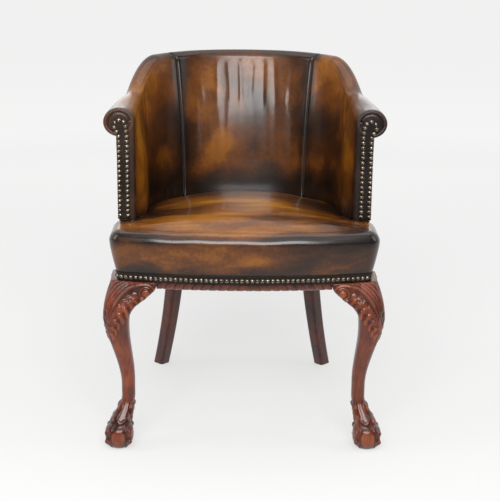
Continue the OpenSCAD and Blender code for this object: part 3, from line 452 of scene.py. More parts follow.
def polished_wood(name, stops, length_axis=2, rough=(0.24, 0.4), carved=False, coat=0.45):
    """Stained wood: streaks along the grain and small pores; carved pieces also take a layer that keeps them
    darker in their hollows and paler on their ridges, with painted highlights and painted shade in places.
    """
    m, nt = new_surface(name)
    vec = coords(nt, [0.09 if axis == length_axis else 1.0 for axis in range(3)])
    flow = noise(nt, vec, 95, 4, 0.6, 1.2)
    broad = noise(nt, coords(nt), 17, 3, 0.5, 0.5)
    tone = span(nt, weighted(nt, [(flow, 0.5), (broad, 0.5)]), 0.34, 0.66, 0.0, 1.0)
    if carved:
        tone = weighted(nt, [(tone, 0.5), (attribute(nt, "carve"), 0.5)], True)
    normal = bumps(nt, [(noise(nt, vec, 900, 2, 0.5), 0.00025, 0.5), (flow, 0.0006, 0.4)])
    return finished(m, {"Base Color": ramp(nt, tone, stops), "Roughness": span(nt, broad, 0.3, 0.7, *rough),
                        "Coat Weight": coat, "Coat Roughness": 0.15, "Specular IOR Level": 0.35,
                        "Normal": normal})


def metal(name, stops, rough):
    m, nt = new_surface(name)
    n = noise(nt, coords(nt), 240, 4, 0.6)
    return finished(m, {"Base Color": ramp(nt, span(nt, n, 0.3, 0.7, 0, 1), stops), "Metallic": 1.0,
                        "Roughness": span(nt, n, 0.3, 0.7, *rough), "Normal": bumps(nt, [(n, 0.0003, 0.4)])})


def woven(name, stops, pitch, rough, depth):
    """Threads over and under each other, at a pitch in metres."""
    m, nt = new_surface(name)
    vec = coords(nt)
    waves = [node(nt, "TexWave", {"Vector": vec, "Scale": 0.314 / pitch, "Distortion": 0.4},
                  bands_direction=axis).outputs["Fac"] for axis in "XY"]
    weave = calc(nt, "MULTIPLY", *waves)
    tone = weighted(nt, [(weave, 0.6), (noise(nt, vec, 60), 0.5)], True)
    return finished(m, {"Base Color": ramp(nt, tone, stops), "Roughness": rough, "Sheen Weight": 0.15,
                        "Normal": bumps(nt, [(weave, depth, 0.8)])})


DYES = [(0.0, "150c07"), (0.25, "331a08"), (0.5, "5f3308"), (0.75, "8f560b"), (1.0, "b57c20")]
HIDE = leather("antique_hide", DYES, 0.3, coat=0.62, haze=0.18)
SEAT_HIDE = leather("antique_seat_hide", DYES, 0.42, coat=0.8, stretch=(0.5, 1.9, 1.6))
DARK_HIDE = leather("dark_hide", [(0.0, "0c0806"), (0.4, "1f1611"), (0.75, "35261d"), (1.0, "533a2b")],
                    0.25, (0.34, 0.5), 0.12)
EDGE_HIDE = leather("edge_hide", [(0.0, "100b08"), (0.3, "241813"), (0.6, "3d281d"), (1.0, "634028")],
                    0.26, (0.24, 0.36), 0.35)
WOOD = polished_wood("carved_mahogany", [(0.0, "190b07"), (0.28, "3c170c"), (0.6, "672b16"), (1.0, "954b20")],
                     carved=True)
PLAIN_WOOD = polished_wood("mahogany", [(0.0, "200a04"), (0.5, "451408"), (1.0, "672912")], coat=0.15)
BEECH = polished_wood("beech", [(0.0, "8f6a41"), (0.5, "b48a58"), (1.0, "cba878")], 0, (0.5, 0.65))
NAIL = metal("old_brass", [(0.0, "35302a"), (0.5, "776e60"), (1.0, "b5aa98")], (0.2, 0.32))
STEEL = metal("spring_wire", [(0.0, "4c4f52"), (1.0, "8f9498")], (0.3, 0.5))
CANVAS = woven("canvas", [(0.0, "8d8063"), (1.0, "c9bc9c")], 0.0016, 0.85, 0.0004)
BLACK_CLOTH = woven("black_cloth", [(0.0, "0f0e0d"), (1.0, "2c2a28")], 0.0011, 0.9, 0.0002)

# Seat cover. Each ring of its skin runs along the front, in FRONT_N points, then past a notch at the arm,
# and then round the tub.
COUNTS = (60, 18, 8)
FRONT_N, TUB_N = sum(COUNTS) + 1, 100
HALF_N = FRONT_N + 1 + TUB_N
TUB_U = np.linspace(0, 1, TUB_N) * 0.992
CUSHION_GAP = 1.3
BORDER_TOP_H, RECESS_H = 444.5, 466.8
IS_FRONT = smooth((FRONT_N + 6 - np.arange(HALF_N)) / 12.0)
AXIS_Y = mix(50, BACK_INNER_Y - TUB_R,
             np.maximum(0, np.arange(HALF_N) - FRONT_N + 1) / (HALF_N - FRONT_N + 1))


def front_profile(z):
    """How far the face of the seat lies inside its widest line, at a height."""
    heights = [388, 390, 400, 410, 416, 424, 434, 446, 460, 470, 478]
    insets = [17.4, 17.2, 15.7, 14.1, 12.0, 9.9, 7.6, 5.0, 2.2, 0.7, 0.0]
    fine = np.arange(388, 478.6, 0.5)
    known = np.pad(np.interp(fine, heights, insets), 4, mode="edge")
    eased = np.convolve(known, np.ones(9) / 9, mode="valid")
    up = np.clip((z - SEAT_EDGE_H) / (SEAT_SIDE_H - SEAT_EDGE_H), 0, 1)
    return np.where(z <= SEAT_EDGE_H, np.interp(z, fine, eased), 27 * rounded(up ** 0.95))


def rim_tub(u):
    return mix(SEAT_SIDE_H, SEAT_BACK_H, smooth(u)) - 9 * sind(180 * u)


def cushion_half(z_front, share, extra=0.0):
    """Outline where the front is at a height and the tub side at a share of the rim's height."""
    z = mix(CUSHION_BOTTOM_H, rim_tub(TUB_U), share)
    tub = wall(TUB_U, z, -CUSHION_GAP - swell(TUB_U, z))[:, :2]
    return np.concatenate([front_half(front_profile(z_front) + extra, EAR_BACK_Y, COUNTS),
                           [[ARM_HALF - CUSHION_GAP, EAR_BACK_Y]], tub])


def cushion_heights(half, share):
    top = SEAT_SIDE_H + 3 * smooth(half[:FRONT_N, 1] / ARM_FRONT_Y)
    return np.concatenate([mix(BORDER_TOP_H, top, share), [mix(BORDER_TOP_H, SEAT_SIDE_H, share)],
                           mix(CUSHION_BOTTOM_H, rim_tub(TUB_U), share)])


def drawn(half, s):
    """An outline drawn in towards the middle of the seat."""
    return np.stack([half[:, 0] * s, mix(AXIS_Y, half[:, 1], s)], -1)


def seat_rings():
    base, low = cushion_half(446.0, 0.0), cushion_half(452.0, 0.0, 4)
    inner = drawn(low, 0.84)
    rings = [(drawn(low, 0.2), RECESS_H), (inner, RECESS_H), (inner, CUSHION_BOTTOM_H)]
    # down the back of the border, round its foot and up its face; the tub side creeps outwards meanwhile
    steps = [(z, RAIL_FRONT_IN - CURVE_GAP, t) for z, t in ((443.9, 0.3), (420, 0.4), (390.2, 0.5))]
    steps += [(z, float(front_profile(z)), mix(0.55, 0.97, (z - 390) / 54))
              for z in (390.0, 394, 399, 404, 409, 413, 417, 421, 426, 432, 438, 443.5)]
    for z, inset, t in steps:
        front = front_half(inset, EAR_BACK_Y if z == 443.5 else FACING_BACK_Y, COUNTS)
        half = np.concatenate([front, mix(inner[FRONT_N:], base[FRONT_N:], t)])
        rings.append((half, np.where(np.arange(HALF_N) < FRONT_N, z, CUSHION_BOTTOM_H)))
    # up the nose
    widest = (SEAT_EDGE_H - BORDER_TOP_H) / (SEAT_SIDE_H - BORDER_TOP_H)
    over = mix(widest, 1, sind(np.linspace(0, 90, 22)))
    for share in np.concatenate([widest * np.linspace(0, 1, 12)[:-1], over]):
        half = cushion_half(mix(BORDER_TOP_H, SEAT_SIDE_H, share), share)
        rings.append((half, cushion_heights(half, share)))
    # the crown, whose cover dives into the crevice near the arms and the back
    half = cushion_half(SEAT_SIDE_H, 1.0)
    rim = cushion_heights(half, 1.0)
    for s in 1 - np.linspace(0.004, 0.8, 46) ** 1.25:
        crown = mix(rim, SEAT_CROWN_H, 1 - s ** mix(2.5, 1.7, IS_FRONT))
        rings.append((drawn(half, s), crown - 5.5 * (1 - IS_FRONT) * bell(1 - s, 0.028)))
    return [whole(at_height(half, z)) for half, z in rings]


def seat_layers(p):
    """Painted shade towards the tub's crevice, under the nose and at the ends of its face, a darker band
    along the nose's ridge, and a paler middle.
    """
    x, y, z = p.T
    d = np.full(len(p), 1e9)
    for q in wall(np.linspace(0, 1, 200)[::2], 500.0, 0.0):
        d = np.minimum(d, np.hypot(np.abs(x) - q[0], y - q[1]))
    top, in_tub = smooth((z - 490) / 12), y > 60
    shade = top * in_tub * (0.9 * bell(d, 26) + 0.25 * smooth((120 - d) / 120))
    shade += (1 - top) * (0.2 + 0.7 * smooth((426 - z) / 30) + 0.6 * smooth((np.abs(x) - 150) / 100))
    shade += 0.75 * bell(z - 491, 11) * (1 - smooth((y - 70) / 20)) * (behind_bow(x, y) < 45)
    shade += 0.55 * bell(d, 13) * in_tub * (z > 440)
    return np.clip(shade, 0, 1), 0.16 * top * bell(x, 150) * bell(y - 140, 110)


def seat_folds(p):
    """Small folds where the cover is drawn round the front of the arms, and slight hollows of long use."""
    x, y, z = p.T
    up = smooth((z - 470) / 25)
    d = 0.9 * (np.sin(x / 31 + 0.7) * np.sin(y / 43 + 0.4) + 0.6 * np.sin(x / 17 - y / 23))
    d *= smooth((230 - np.abs(x)) / 60) * smooth((430 - y) / 60)
    for cx, cy, angle, length, depth, w in ((-228, 44, 62, 24, 2.6, 3.2), (-246, 58, 35, 15, 1.6, 3.0),
                                            (232, 30, 118, 22, 1.8, 3.2), (244, 48, 130, 20, 2.2, 3.0),
                                            (221, 52, 108, 16, 1.4, 2.6)):
        d -= depth * streak(x - cx, y - cy, angle, length, w)
        d += 0.5 * depth * streak(x - cx, y - cy, angle, length, w, 2 * w)
    return np.stack([x, y, z + d * up], -1)


def seat_free(p):
    """The seat's top is free, apart from where the cover is drawn down beside the tub and over the nose."""
    x, y, z = np.abs(p[:, 0]), p[:, 1], p[:, 2]
    reach = np.minimum(ARM_HALF - x + 30 * smooth((70 - y) / 40),
                       BACK_INNER_Y - 0.25 * np.maximum(0, x - 60) - y)
    return smooth((z - 492) / 8) * smooth((behind_bow(x, y) - 30) / 40) * smooth((reach - 16) / 40)


def back_free(p):
    """The face of the back pad is free, apart from its seams, its foot and its roll."""
    x, y, z = np.abs(p[:, 0]), p[:, 1], p[:, 2]
    return (smooth((y - 300) / 40) * smooth((150 - x) / 50) * smooth((z - 540) / 60) * smooth((790 - z) / 60)
            * smooth((BACK_INNER_Y + 40 - y) / 12))


def points_of(me):
    co = np.empty(len(me.vertices) * 3)
    me.vertices.foreach_get("co", co)
    return co.reshape(-1, 3)


def freedom(co, free):
    return free(co * 1000 + (0, MID_Y, 0))


def weigh(ob, weights):
    """A vertex group with a weight for each vertex."""
    group = ob.vertex_groups.new(name="weights")
    for k, w in enumerate(weights):
        group.add([k], float(w), "REPLACE")
    return group.name


def modified(ob, kind, **settings):
    """Applies a modifier at once."""
    modifier = assign(ob.modifiers.new("change", kind), **settings)
    bpy.context.view_layer.objects.active = ob
    bpy.ops.object.modifier_apply(modifier=modifier.name)


def evened(ob, free, times):
    """Draws a cover tight where it is free, so that no line of its making shows."""
    group = weigh(ob, freedom(points_of(ob.data), free))
    modified(ob, "SMOOTH", factor=0.5, iterations=times, vertex_group=group)
    ob.vertex_groups.clear()


VOXEL, PRESSURE, FRAMES = 0.006, 4.0, 20


def swollen(ob, free, cap):
    """Cloth simulation of a pad's cover on a voxel copy, held at the seams. What it moves is carried back to
    the pad. free(points in mm) says how much each point may move, from 0 to 1, and cap is the most that it
    moves, in metres."""
    scene = bpy.context.scene
    twin = ob.copy()
    twin.data = ob.data.copy()
    scene.collection.objects.link(twin)
    modified(twin, "REMESH", mode="VOXEL", voxel_size=VOXEL)
    rest = points_of(twin.data)
    cloth = twin.modifiers.new("cloth", "CLOTH")
    assign(cloth.settings, quality=4, mass=0.3, use_pressure=True, uniform_pressure_force=PRESSURE,
           vertex_group_mass=weigh(twin, 1 - freedom(rest, free)), tension_stiffness=14,
           compression_stiffness=14, shear_stiffness=6, bending_stiffness=0.6)
    cloth.settings.effector_weights.gravity = 0
    cloth.collision_settings.use_collision = False
    assign(cloth.point_cache, frame_start=1, frame_end=FRAMES)
    for k in range(1, FRAMES + 1):
        scene.frame_set(k)
    d = points_of(twin.evaluated_get(bpy.context.evaluated_depsgraph_get()).data) - rest
    length = np.linalg.norm(d, axis=1, keepdims=True)
    d *= cap * np.tanh(length / cap) / np.maximum(length, 1e-9)
    scene.frame_set(1)
    bpy.data.objects.remove(twin)
    tree = KDTree(len(rest))
    for k, q in enumerate(rest):
        tree.insert(q, k)
    tree.balance()
    co = points_of(ob.data)
    w = freedom(co, free)
    for k in np.nonzero(w > 0.002)[0]:
        near = tree.find_n(co[k], 6)
        share = np.array([1 / (r + 0.001) for _, _, r in near])
        co[k] += w[k] * (share[:, None] * d[[i for _, i, _ in near]]).sum(0) / share.sum()
    ob.data.vertices.foreach_set("co", co.ravel())
    ob.data.update()


pts, faces = tube_mesh(seat_rings())
pts = seat_folds(pts)
shade, glow = seat_layers(pts)
seat = piece("seat_cover", (pts, faces), SEAT_HIDE, ["seat_cushion", "seat_border"], "hide",
             shade=shade, glow=glow)
evened(seat, seat_free, 90)
swollen(seat, seat_free, 0.004)

# Inside arms and inside back. A pad's section is FACE_L long up its face and ROLL_L over its roll, in the
# units of the seam, which ends at SEAM_L.
FACE_N, ROLL_N = 56, 44
FACE_L, ROLL_L, SEAM_L = 5, 9, 9.5


def roll_end(u):
    return -np.degrees(np.arccos((FRAME_OUT - roll_r(u)) / roll_r(u)))


def seam_share(length):
    return np.minimum(1, length / SEAM_L) ** SEAM_POWER


def back_folds(u, z):
    """Soft upright folds in the middle of the back and a few hollows, as millimetres outwards."""
    x = (u - 1) * TUB_L
    d = 1.1 * np.sin(x / 47 + 0.4) * np.sin(z / 61 + 1.0) * smooth((z - 520) / 60)
    for cx, w, low, high, depth, lean in ((-57, 5.5, 700, 808, 1.5, 0.05), (-36, 4.5, 694, 812, 1.8, 0.0),
                                          (-14, 5.0, 705, 810, 1.6, -0.04), (7, 4.5, 696, 812, 1.9, 0.02),
                                          (29, 5.0, 702, 810, 1.5, 0.05), (52, 5.0, 712, 806, 1.3, 0.0),
                                          (92, 7.0, 700, 800, 0.9, 0.12), (-98, 7.0, 690, 800, 1.0, -0.1)):
        across = bell(x - cx - lean * (z - 790), w)
        d = d + 0.75 * depth * across * smooth((z - low) / 40) * smooth((high + 14 - z) / 24)
    return d


def arm_folds(u, z, side):
    d = np.sin(u * 21 + 1.3 * side) * np.sin(z / 53 + 0.8 * side) * smooth((u - 0.05) / 0.1)
    for cu, cz, angle, length, w, depth in ((0.30, 700, 62, 60, 7, 1.8), (0.36, 690, 70, 70, 8, 1.6),
                                            (0.43, 720, 76, 60, 8, 1.4), (0.16, 540, 15, 40, 9, 1.5)):
        d = d + depth * streak((u - cu) * 560, z - cz, angle, length, w)
    return d


def pad_rings(us_low, us_high, sewn, folds):
    """Rings of a hooked pad: up its face, over the roll and back inside. sewn is the distance to its nearest
    end."""
    f, g = np.linspace(0, 1, FACE_N, endpoint=False), np.linspace(0, 1, ROLL_N)
    along = seam_share(np.concatenate([FACE_L * f, FACE_L + ROLL_L * g]))
    us = us_low[:, None] + (us_high - us_low)[:, None] * along
    uf, ur = us[:, :FACE_N], us[:, FACE_N:]
    dist = sewn[:, None]
    edge, ease = 5 * rounded(1 - np.clip(dist / 9.0, 0, 1)), smooth(dist / 25)
    zf = mix(CUSHION_BOTTOM_H, roll_h(uf), f)
    face = wall(uf, zf, edge - swell(uf, zf) + folds(uf, zf) * ease)
    a, rr = mix(180, roll_end(ur), g), roll_r(ur)
    fold = folds(ur, roll_h(ur) + 6) * ease * np.maximum(0, -cosd(a)) ** 0.5
    roll = wall(ur, roll_h(ur) + (roll_v(ur) - edge) * sind(a), rr + (rr - edge - fold) * cosd(a))
    # the hidden inner side
    k = np.linspace(0, 1, 8, endpoint=False)
    ui = us[:, :1] + (us[:, FACE_N:FACE_N + 1] - us[:, :1]) * k
    back = wall(ui, mix(CUSHION_BOTTOM_H, roll_h(ui), k), PAD_BACK)
    end = us[:, -1]
    core_top, low = roll_h(end) + 0.3 * roll_v(end) + 1, under_h(end, FRAME_OUT) + 2
    hook = wall(end[:, None], np.stack([roll_h(end), core_top, core_top, low], 1),
                np.array([PAD_BACK, PAD_BACK, FRAME_OUT + 1, FRAME_OUT + 1]))
    return np.concatenate([face, roll, np.concatenate([back, hook], 1)[:, ::-1]], 1), us


def pad_layers(rings, us, sewn, arm):
    """Painted shade beside the seams, at the foot and low down, darker over the top of the roll; on an arm
    painted shade also towards the back and at its front edge, and on the back a darker tone all over. The
    glow is paler towards an arm's front and in the back's middle, and a painted highlight high on an arm's
    wing.
    """
    z, dist = rings[:, :, 2], sewn[:, None]
    u = np.concatenate([us, np.repeat(us[:, -1:], rings.shape[1] - us.shape[1], 1)], 1)
    rel = np.clip((z - SEAT_BACK_H) / (top_h(u) - SEAT_BACK_H), 0, 1)
    h = half_of(u)
    shade = 0.95 * bell(dist, 12) + 0.34 * bell(dist, 42)
    shade = shade + 0.9 * bell(rel, 0.085) + 0.3 * smooth((0.35 - rel) / 0.35)
    top = smooth((rel - 0.93) / 0.07)
    if arm:
        shade += 0.25 * top + 0.5 * smooth((h - 0.24) / 0.26) * (1 - 0.9 * smooth((rel - 0.5) / 0.3))
        shade += 0.4 * bell(h, 0.014)
        # painted highlight high on the arm's wing, and a paler band towards its front
        glow = 0.12 * smooth((h - 0.35) / 0.2) * smooth((rel - 0.6) / 0.25)
        glow += 0.18 * bell(h - 0.16, 0.11) * bell(rel - 0.58, 0.3)
    else:
        shade += 0.6 * top + 0.36
        glow = 0.1 * bell(h - 1, 0.14) * bell(rel - 0.42, 0.22)
    return np.clip(shade, 0, 1), glow


def pad(name, node_name, us, high, sewn, folds, side=0):
    """A padded piece; side is 1 for the right arm, -1 for the left arm and 0 for the back."""
    rings, all_us = pad_rings(us, high, sewn, folds)
    pts, faces = tube_mesh(rings, filled)
    shade, glow = pad_layers(rings, all_us, sewn, side != 0)
    mesh = (mirrored(pts) if side < 0 else pts), faces
    return piece(name, mesh, HIDE, [node_name], "hide", shade=shade, glow=glow)


def close_ends(low, high, first, first_n, n):
    """Shares from low to high, closer together near the ends."""
    last = high - 0.02
    return np.concatenate([np.linspace(low, low + first, first_n)[:-1], np.linspace(low + first, last, n),
                           np.linspace(last, high, 10)[1:]])


arm_end = SEAM_LOW - SEAM_GAP
us = close_ends(0, arm_end, 0.016, 7, 104)
sewn = np.minimum(us * TUB_L * 1.6, (arm_end - us) * TUB_L)
for side_name, side in (("right", 1), ("left", -1)):
    arm = pad("inside_arm_pad_" + side_name, "inside_arm_" + side_name, us,
              us * (SEAM_HIGH - SEAM_GAP) / arm_end, sewn, lambda u, z, s=side: arm_folds(u, z, s), side)

back_end = SEAM_LOW + SEAM_GAP
us = close_ends(back_end, 2 - back_end, 0.02, 10, 150)
back = pad("inside_back_pad", "inside_back", us, 1 + (us - 1) * (1 - SEAM_HIGH - SEAM_GAP) / (1 - back_end),
           np.minimum(us - back_end, 2 - back_end - us) * TUB_L, back_folds)
swollen(back, back_free, 0.0025)


# Piping
def tube(path, radius, sides, hint):
    """Rings round a path. hint is a direction across it, from which the points of a ring are counted."""
    d = np.gradient(path, axis=0)
    d /= np.linalg.norm(d, axis=1, keepdims=True)
    e = hint - (hint * d).sum(1, keepdims=True) * d
    e /= np.linalg.norm(e, axis=1, keepdims=True)
    b = 2 * np.pi * np.arange(sides)[:, None] / sides
    around = np.cos(b) * e[:, None] + np.sin(b) * np.cross(d, e)[:, None]
    return path[:, None] + radius[:, None, None] * around


def piping_point(k):
    """A point of the seam, up the face until k is 0.7 and then over the roll."""
    start_h = rim_tub(SEAM_LOW) + PIPING_D / 2
    if k < 0.7:
        s = mix((start_h - CUSHION_BOTTOM_H) / (roll_h(SEAM_LOW) - CUSHION_BOTTOM_H), 1, k / 0.7)
        u = mix(SEAM_LOW, SEAM_HIGH, seam_share(FACE_L * s))
        z = mix(CUSHION_BOTTOM_H, roll_h(u), s)
        return wall(u, z, 2.4 - swell(u, z))
    a = mix(180, 10, (k - 0.7) / 0.3)
    u = mix(SEAM_LOW, SEAM_HIGH, seam_share(FACE_L + ROLL_L * (180 - a) / (180 - roll_end(SEAM_HIGH))))
    return wall(u, roll_h(u) + (roll_v(u) - 3.2) * sind(a), roll_r(u) + (roll_r(u) - 2.4) * cosd(a))


path = np.array([piping_point(k) for k in np.linspace(0, 1, 150)])
rope = PIPING_D / 2 - 0.3 + 0.1 * np.sin(np.arange(150) * 1.9)
pair("seam_piping", tube_mesh(tube(path, rope, 16, np.array([0, 0.3, 1]))), DARK_HIDE, "piping", "dark_hide",
     shade=0.35, glow=0)


# Outside panels, stretched from the roll to the rails
def panel(u0, u1):
    """The mesh of an outside panel between two shares, and its painted shade: darker beside its seams, near
    its foot and under the roll, on a slightly darker tone.
    """
    us = np.linspace(u0, u1, 110)[:, None]
    z_out = under_h(us, under_roll_o(us)) - 1
    z = mix(RAIL_BOTTOM_H, z_out, np.linspace(0, 1, 60))
    o = outer_o(us, z)
    dist = np.minimum(us - u0, u1 - us) * TUB_L
    puff = 1.6 * np.sin(np.pi * np.clip((z - 410) / (z_out - 410), 0, 1))
    puff = (puff + 0.5 * np.sin(us * 37) * np.sin(z / 47) * smooth((z - 420) / 30)) * smooth(dist / 60)
    outer = wall(us, z, o - 2.2 * rounded(1 - np.clip(dist / 3.0, 0, 1)) + puff)
    shade = np.clip(0.5 * bell(dist, 10) + 0.55 * bell(z - 408, 26) + 0.45 * bell(z_out - z, 22) + 0.12, 0, 1)
    mesh = tube_mesh(np.concatenate([outer, wall(us, z, o - PANEL_T)[:, ::-1]], 1))
    return mesh, np.concatenate([shade, shade[:, ::-1]], 1)


SIDE_SHARES = (0.0, PANEL_JOINT - JOINT_GAP)
BACK_SHARES = (PANEL_JOINT + JOINT_GAP, 2 - PANEL_JOINT - JOINT_GAP)
mesh, shade = panel(*SIDE_SHARES)
pair("outside_arm_leather", mesh, HIDE, "outside_arm", "hide", shade=shade, glow=0)
mesh, shade = panel(*BACK_SHARES)
piece("outside_back_leather", mesh, HIDE, ["outside_back"], "hide", shade=shade, glow=0)


# Scroll-shaped front of the arms: a rolled edge with small pleats round a sunk face, and the padded panel
# below it
def scroll_front():
    th = 2 * np.pi * np.arange(240) / 240
    # share of the radius and depth, from the back of the edge to the middle of the face
    rho, depth = np.array([(0.965, 5.7), (0.985, 4.6), (0.985, 2.2), (0.95, 0.3), (0.88, -0.9), (0.80, -0.6),
                           (0.745, 0.5), (0.715, 2.2), (0.69, 2.6), (0.665, 1.7), (0.62, 1.0), (0.5, 0.7),
                           (0.3, 0.6), (0.12, 0.55)]).T[:, :, None]
    pleat = 0.28 * np.sin(th * 46 + 0.7 * np.sin(3 * th)) * bell(rho - 0.83, 0.1)
    pts, faces = tube_mesh(np.stack([SCROLL_X + SCROLL_R * rho * np.cos(th), SCROLL_Y + depth + pleat,
                                     SCROLL_H + SCROLL_V * rho * np.sin(th)], -1), None)
    rho = np.hypot((pts[:, 0] - SCROLL_X) / SCROLL_R, (pts[:, 2] - SCROLL_H) / SCROLL_V)
    # painted shade in the groove inside the rolled edge and over the sunk face
    return pts, faces, 0.9 * bell(rho - 0.7, 0.05) + 0.35 * (rho < 0.68)


def arm_front_panel():
    """Padded upright below the scroll, rounded at both edges."""
    z = np.concatenate([np.linspace(CUSHION_BOTTOM_H, 560, 30), np.linspace(562, SCROLL_H + 4, 60)])[:, None]
    x0 = ARM_HALF + 0.4 * smooth((z - 660) / 60)
    x1 = ARM_HALF + outer_o(0.0, z) - 0.2
    x = mix(x0, x1, np.linspace(0, 1, 34))
    y = SCROLL_Y + (FACING_T - GAP) * rounded(np.maximum(0, 1 - np.minimum(x - x0, x1 - x) / 6))
    y += 0.15 * np.sin(z / 9.0 + x / 7) - 0.5 * bell(x - x0 - 9, 6)
    x = np.concatenate([x, mix(x0, x1, np.array([1, 0.66, 0.33, 0]))], 1)
    y = np.concatenate([y, np.full((len(z), 4), FACING_BACK_Y)], 1)
    pts, faces = tube_mesh(np.stack([x, y, z + 0 * x], -1))
    # painted shade in the crease at its inner edge and low down near the seat, on a darker tone
    shade = 0.45 + 0.4 * bell(pts[:, 0] - ARM_HALF, 3) + 0.3 * smooth((540 - pts[:, 2]) / 60)
    return pts, faces, shade


scroll, upright = scroll_front(), arm_front_panel()
pair("scroll_front", joined([scroll[:2], upright[:2]]), EDGE_HIDE, "scroll_panel", "dark_hide",
     shade=0.5 * np.clip(np.concatenate([scroll[2], upright[2]]), 0, 1), glow=0)

# Leather strip under the arm nails
STRIP_W, STRIP_T = 27, 1.6
STRIP_X = ARM_HALF + WALL_T - NAIL_H - STRIP_W / 2
ARCH_X, ARCH_H, ARCH_R = STRIP_X + 6, SCROLL_H - 7, 12.5 + NAIL_D / 2 + 1
STRIP_BOTTOM = SEAT_SIDE_H + NAIL_H + 2


def strip_outline():
    """Up the inner side of the strip, round the arch and down the outer side."""
    z = np.concatenate([np.linspace(STRIP_BOTTOM, ARCH_H - 18, 90),
                        ARCH_H - ARCH_R * np.cos(np.linspace(0.2, math.pi - 0.12, 50))])
    half = np.sqrt(np.maximum(0, ARCH_R ** 2 - (z - ARCH_H) ** 2))
    low = z < ARCH_H
    left = np.where(low, np.minimum(ARCH_X - half, STRIP_X - STRIP_W / 2), ARCH_X - half)
    right = np.where(low, np.maximum(ARCH_X + half, STRIP_X + STRIP_W / 2), ARCH_X + half)
    return np.concatenate([np.stack([left, z], -1), np.stack([right, z], -1)[::-1]])


def plate(o, y_back, thick, bevel=0.5):
    """A thin plate that faces the front, from its outline in x and z, with a rounded rim."""
    t = np.roll(o, -1, 0) - np.roll(o, 1, 0)
    t /= np.linalg.norm(t, axis=1, keepdims=True)
    inward = np.stack([-t[:, 1], t[:, 0]], -1) * np.sign(area_of(o))
    steps = ((0.0, 0.0), (0.0, 0.55), (bevel * 0.35, 0.9), (bevel, 1.0), (bevel * 4, 1.0))
    return tube_mesh([at_height(o + inward * inset, y_back - thick * share)[:, [0, 2, 1]]
                      for inset, share in steps])


pair("nail_strip", plate(strip_outline(), EAR_BACK_Y, STRIP_T), DARK_HIDE, "facing_strip", "dark_hide",
     shade=0.25, glow=0)


# Banding round the foot of the upholstery
def band(low, high, thick=1.6):
    """A rounded strip whose inner edges are two paths in plan, at the bottom and the top of the banding."""
    t = np.gradient(low, axis=0)
    t /= np.linalg.norm(t, axis=1, keepdims=True)
    out = np.stack([t[:, 1], -t[:, 0]], -1) * thick
    section = ((0.0, 0.0), (0.0, 0.7), (0.03, 0.93), (0.09, 1.0), (0.3, 1.0), (0.6, 1.0), (0.91, 1.0),
               (0.97, 0.93), (1.0, 0.7), (1.0, 0.0), (0.66, 0.0), (0.33, 0.0))
    return tube_mesh(np.stack([at_height(mix(low, high, h) + out * t, RAIL_BOTTOM_H + BANDING_H * h)
                               for h, t in section], 1))


def side_band(u0, u1):
    us = np.linspace(u0, u1, 130)
    return band(*[wall(us, z, outer_o(us, z) + GAP)[:, :2]
                  for z in (RAIL_BOTTOM_H, RAIL_BOTTOM_H + BANDING_H)])


lean = BORDER_IN / 2 * BANDING_H / RAIL_H
paths = [whole(front_half(inset, FACING_BACK_Y, (70, 18, 10))[::-1])[::-1]
         for inset in (BORDER_IN - GAP, BORDER_IN - GAP - lean)]
piece("banding_front_leather", band(*paths), DARK_HIDE, ["banding_front"], "dark_hide", shade=0.3, glow=0)
pair("banding_side_leather", side_band(*SIDE_SHARES), DARK_HIDE, "banding_side", "dark_hide",
     shade=0.3, glow=0)
piece("banding_back_leather", side_band(*BACK_SHARES), DARK_HIDE, ["banding_back"], "dark_hide",
      shade=0.3, glow=0)


# Gadrooned moulding: slanted lobes with a sharp valley between them
def gadroon():
    end, lobe_h, lean = EAR_END_X - GAP, 3.0, 12.0
    deep = GADROON_BACK - BORDER_IN - lobe_h
    xs, s = np.linspace(-end, end, 760), np.linspace(0, 1, 26)
    phase = (np.abs(xs[:, None]) - lean * s ** 1.2) / GADROON_PITCH
    lobe = 1.25 * lobe_h * np.sqrt(np.maximum(0, 1 - (1 - np.abs(np.cos(np.pi * phase))) ** 1.6)) - 0.6
    lobe = lobe * (0.35 + 0.65 * sind(90 * np.minimum(1, s * 1.6 + 0.25)))
    out = mix(0.3 * deep, deep, cosd(90 * s)) + lobe * cosd(80 * s)
    down = (GADROON_H - lobe_h / 2 + lobe / 2) * sind(90 * s)
    face = bow_pt(xs[:, None] + 0 * out, GADROON_BACK - out)
    face[..., 0] *= end / face[-1, :, 0]
    rear = bow_pt(xs, GADROON_BACK)
    rear[:, 0] *= end / rear[-1, 0]
    cap = np.stack([at_height(rear, LEG_H - GADROON_H), at_height(rear, LEG_H)], 1)
    # the lobes paler than the valleys, paler low down as a painted highlight and darker near the top as
    # painted shade
    carve = np.clip(lobe / 2.6, 0, 1) * mix(0.3, 0.85, smooth((s - 0.1) / 0.6))
    mesh = tube_mesh(np.concatenate([at_height(face, LEG_H - down), cap], 1))
    return mesh, np.concatenate([carve, np.zeros((len(xs), 2))], 1)


mesh, carve = gadroon()
piece("gadroon_carving", mesh, WOOD, ["gadroon_moulding"], "mahogany", carve=carve)

# Front legs. Their relief is drawn on a flat pattern: p is the distance inwards from the middle of the foot,
# z the height, and a cell of the pattern is STEP wide.
P0, P1, Z0, Z1, STEP = -40.0, 104.0, 170.0, 396.0, 0.5
PP, ZZ = np.meshgrid(np.arange(P0, P1 + STEP, STEP), np.arange(Z0, Z1 + STEP, STEP), indexing="ij")
PN, ZN = PP.shape
EYE_P, EYE_H = KNEE_HALF + EAR_L - EYE_IN, LEG_H - EYE_DROP


def spline(points, n):
    """A smooth curve through points."""
    q = np.asarray(points, float)
    q = np.concatenate([[2 * q[0] - q[1]], q, [2 * q[-1] - q[-2]]])
    t = np.linspace(0, len(q) - 3 - 1e-6, n)
    i = t.astype(int)
    k = (t - i)[:, None]
    a, b, c, d = q[i], q[i + 1], q[i + 2], q[i + 3]
    return 0.5 * (2 * b + (c - a) * k + (2 * a - 5 * b + 4 * c - d) * k ** 2
                  + (3 * b - a - 3 * c + d) * k ** 3)


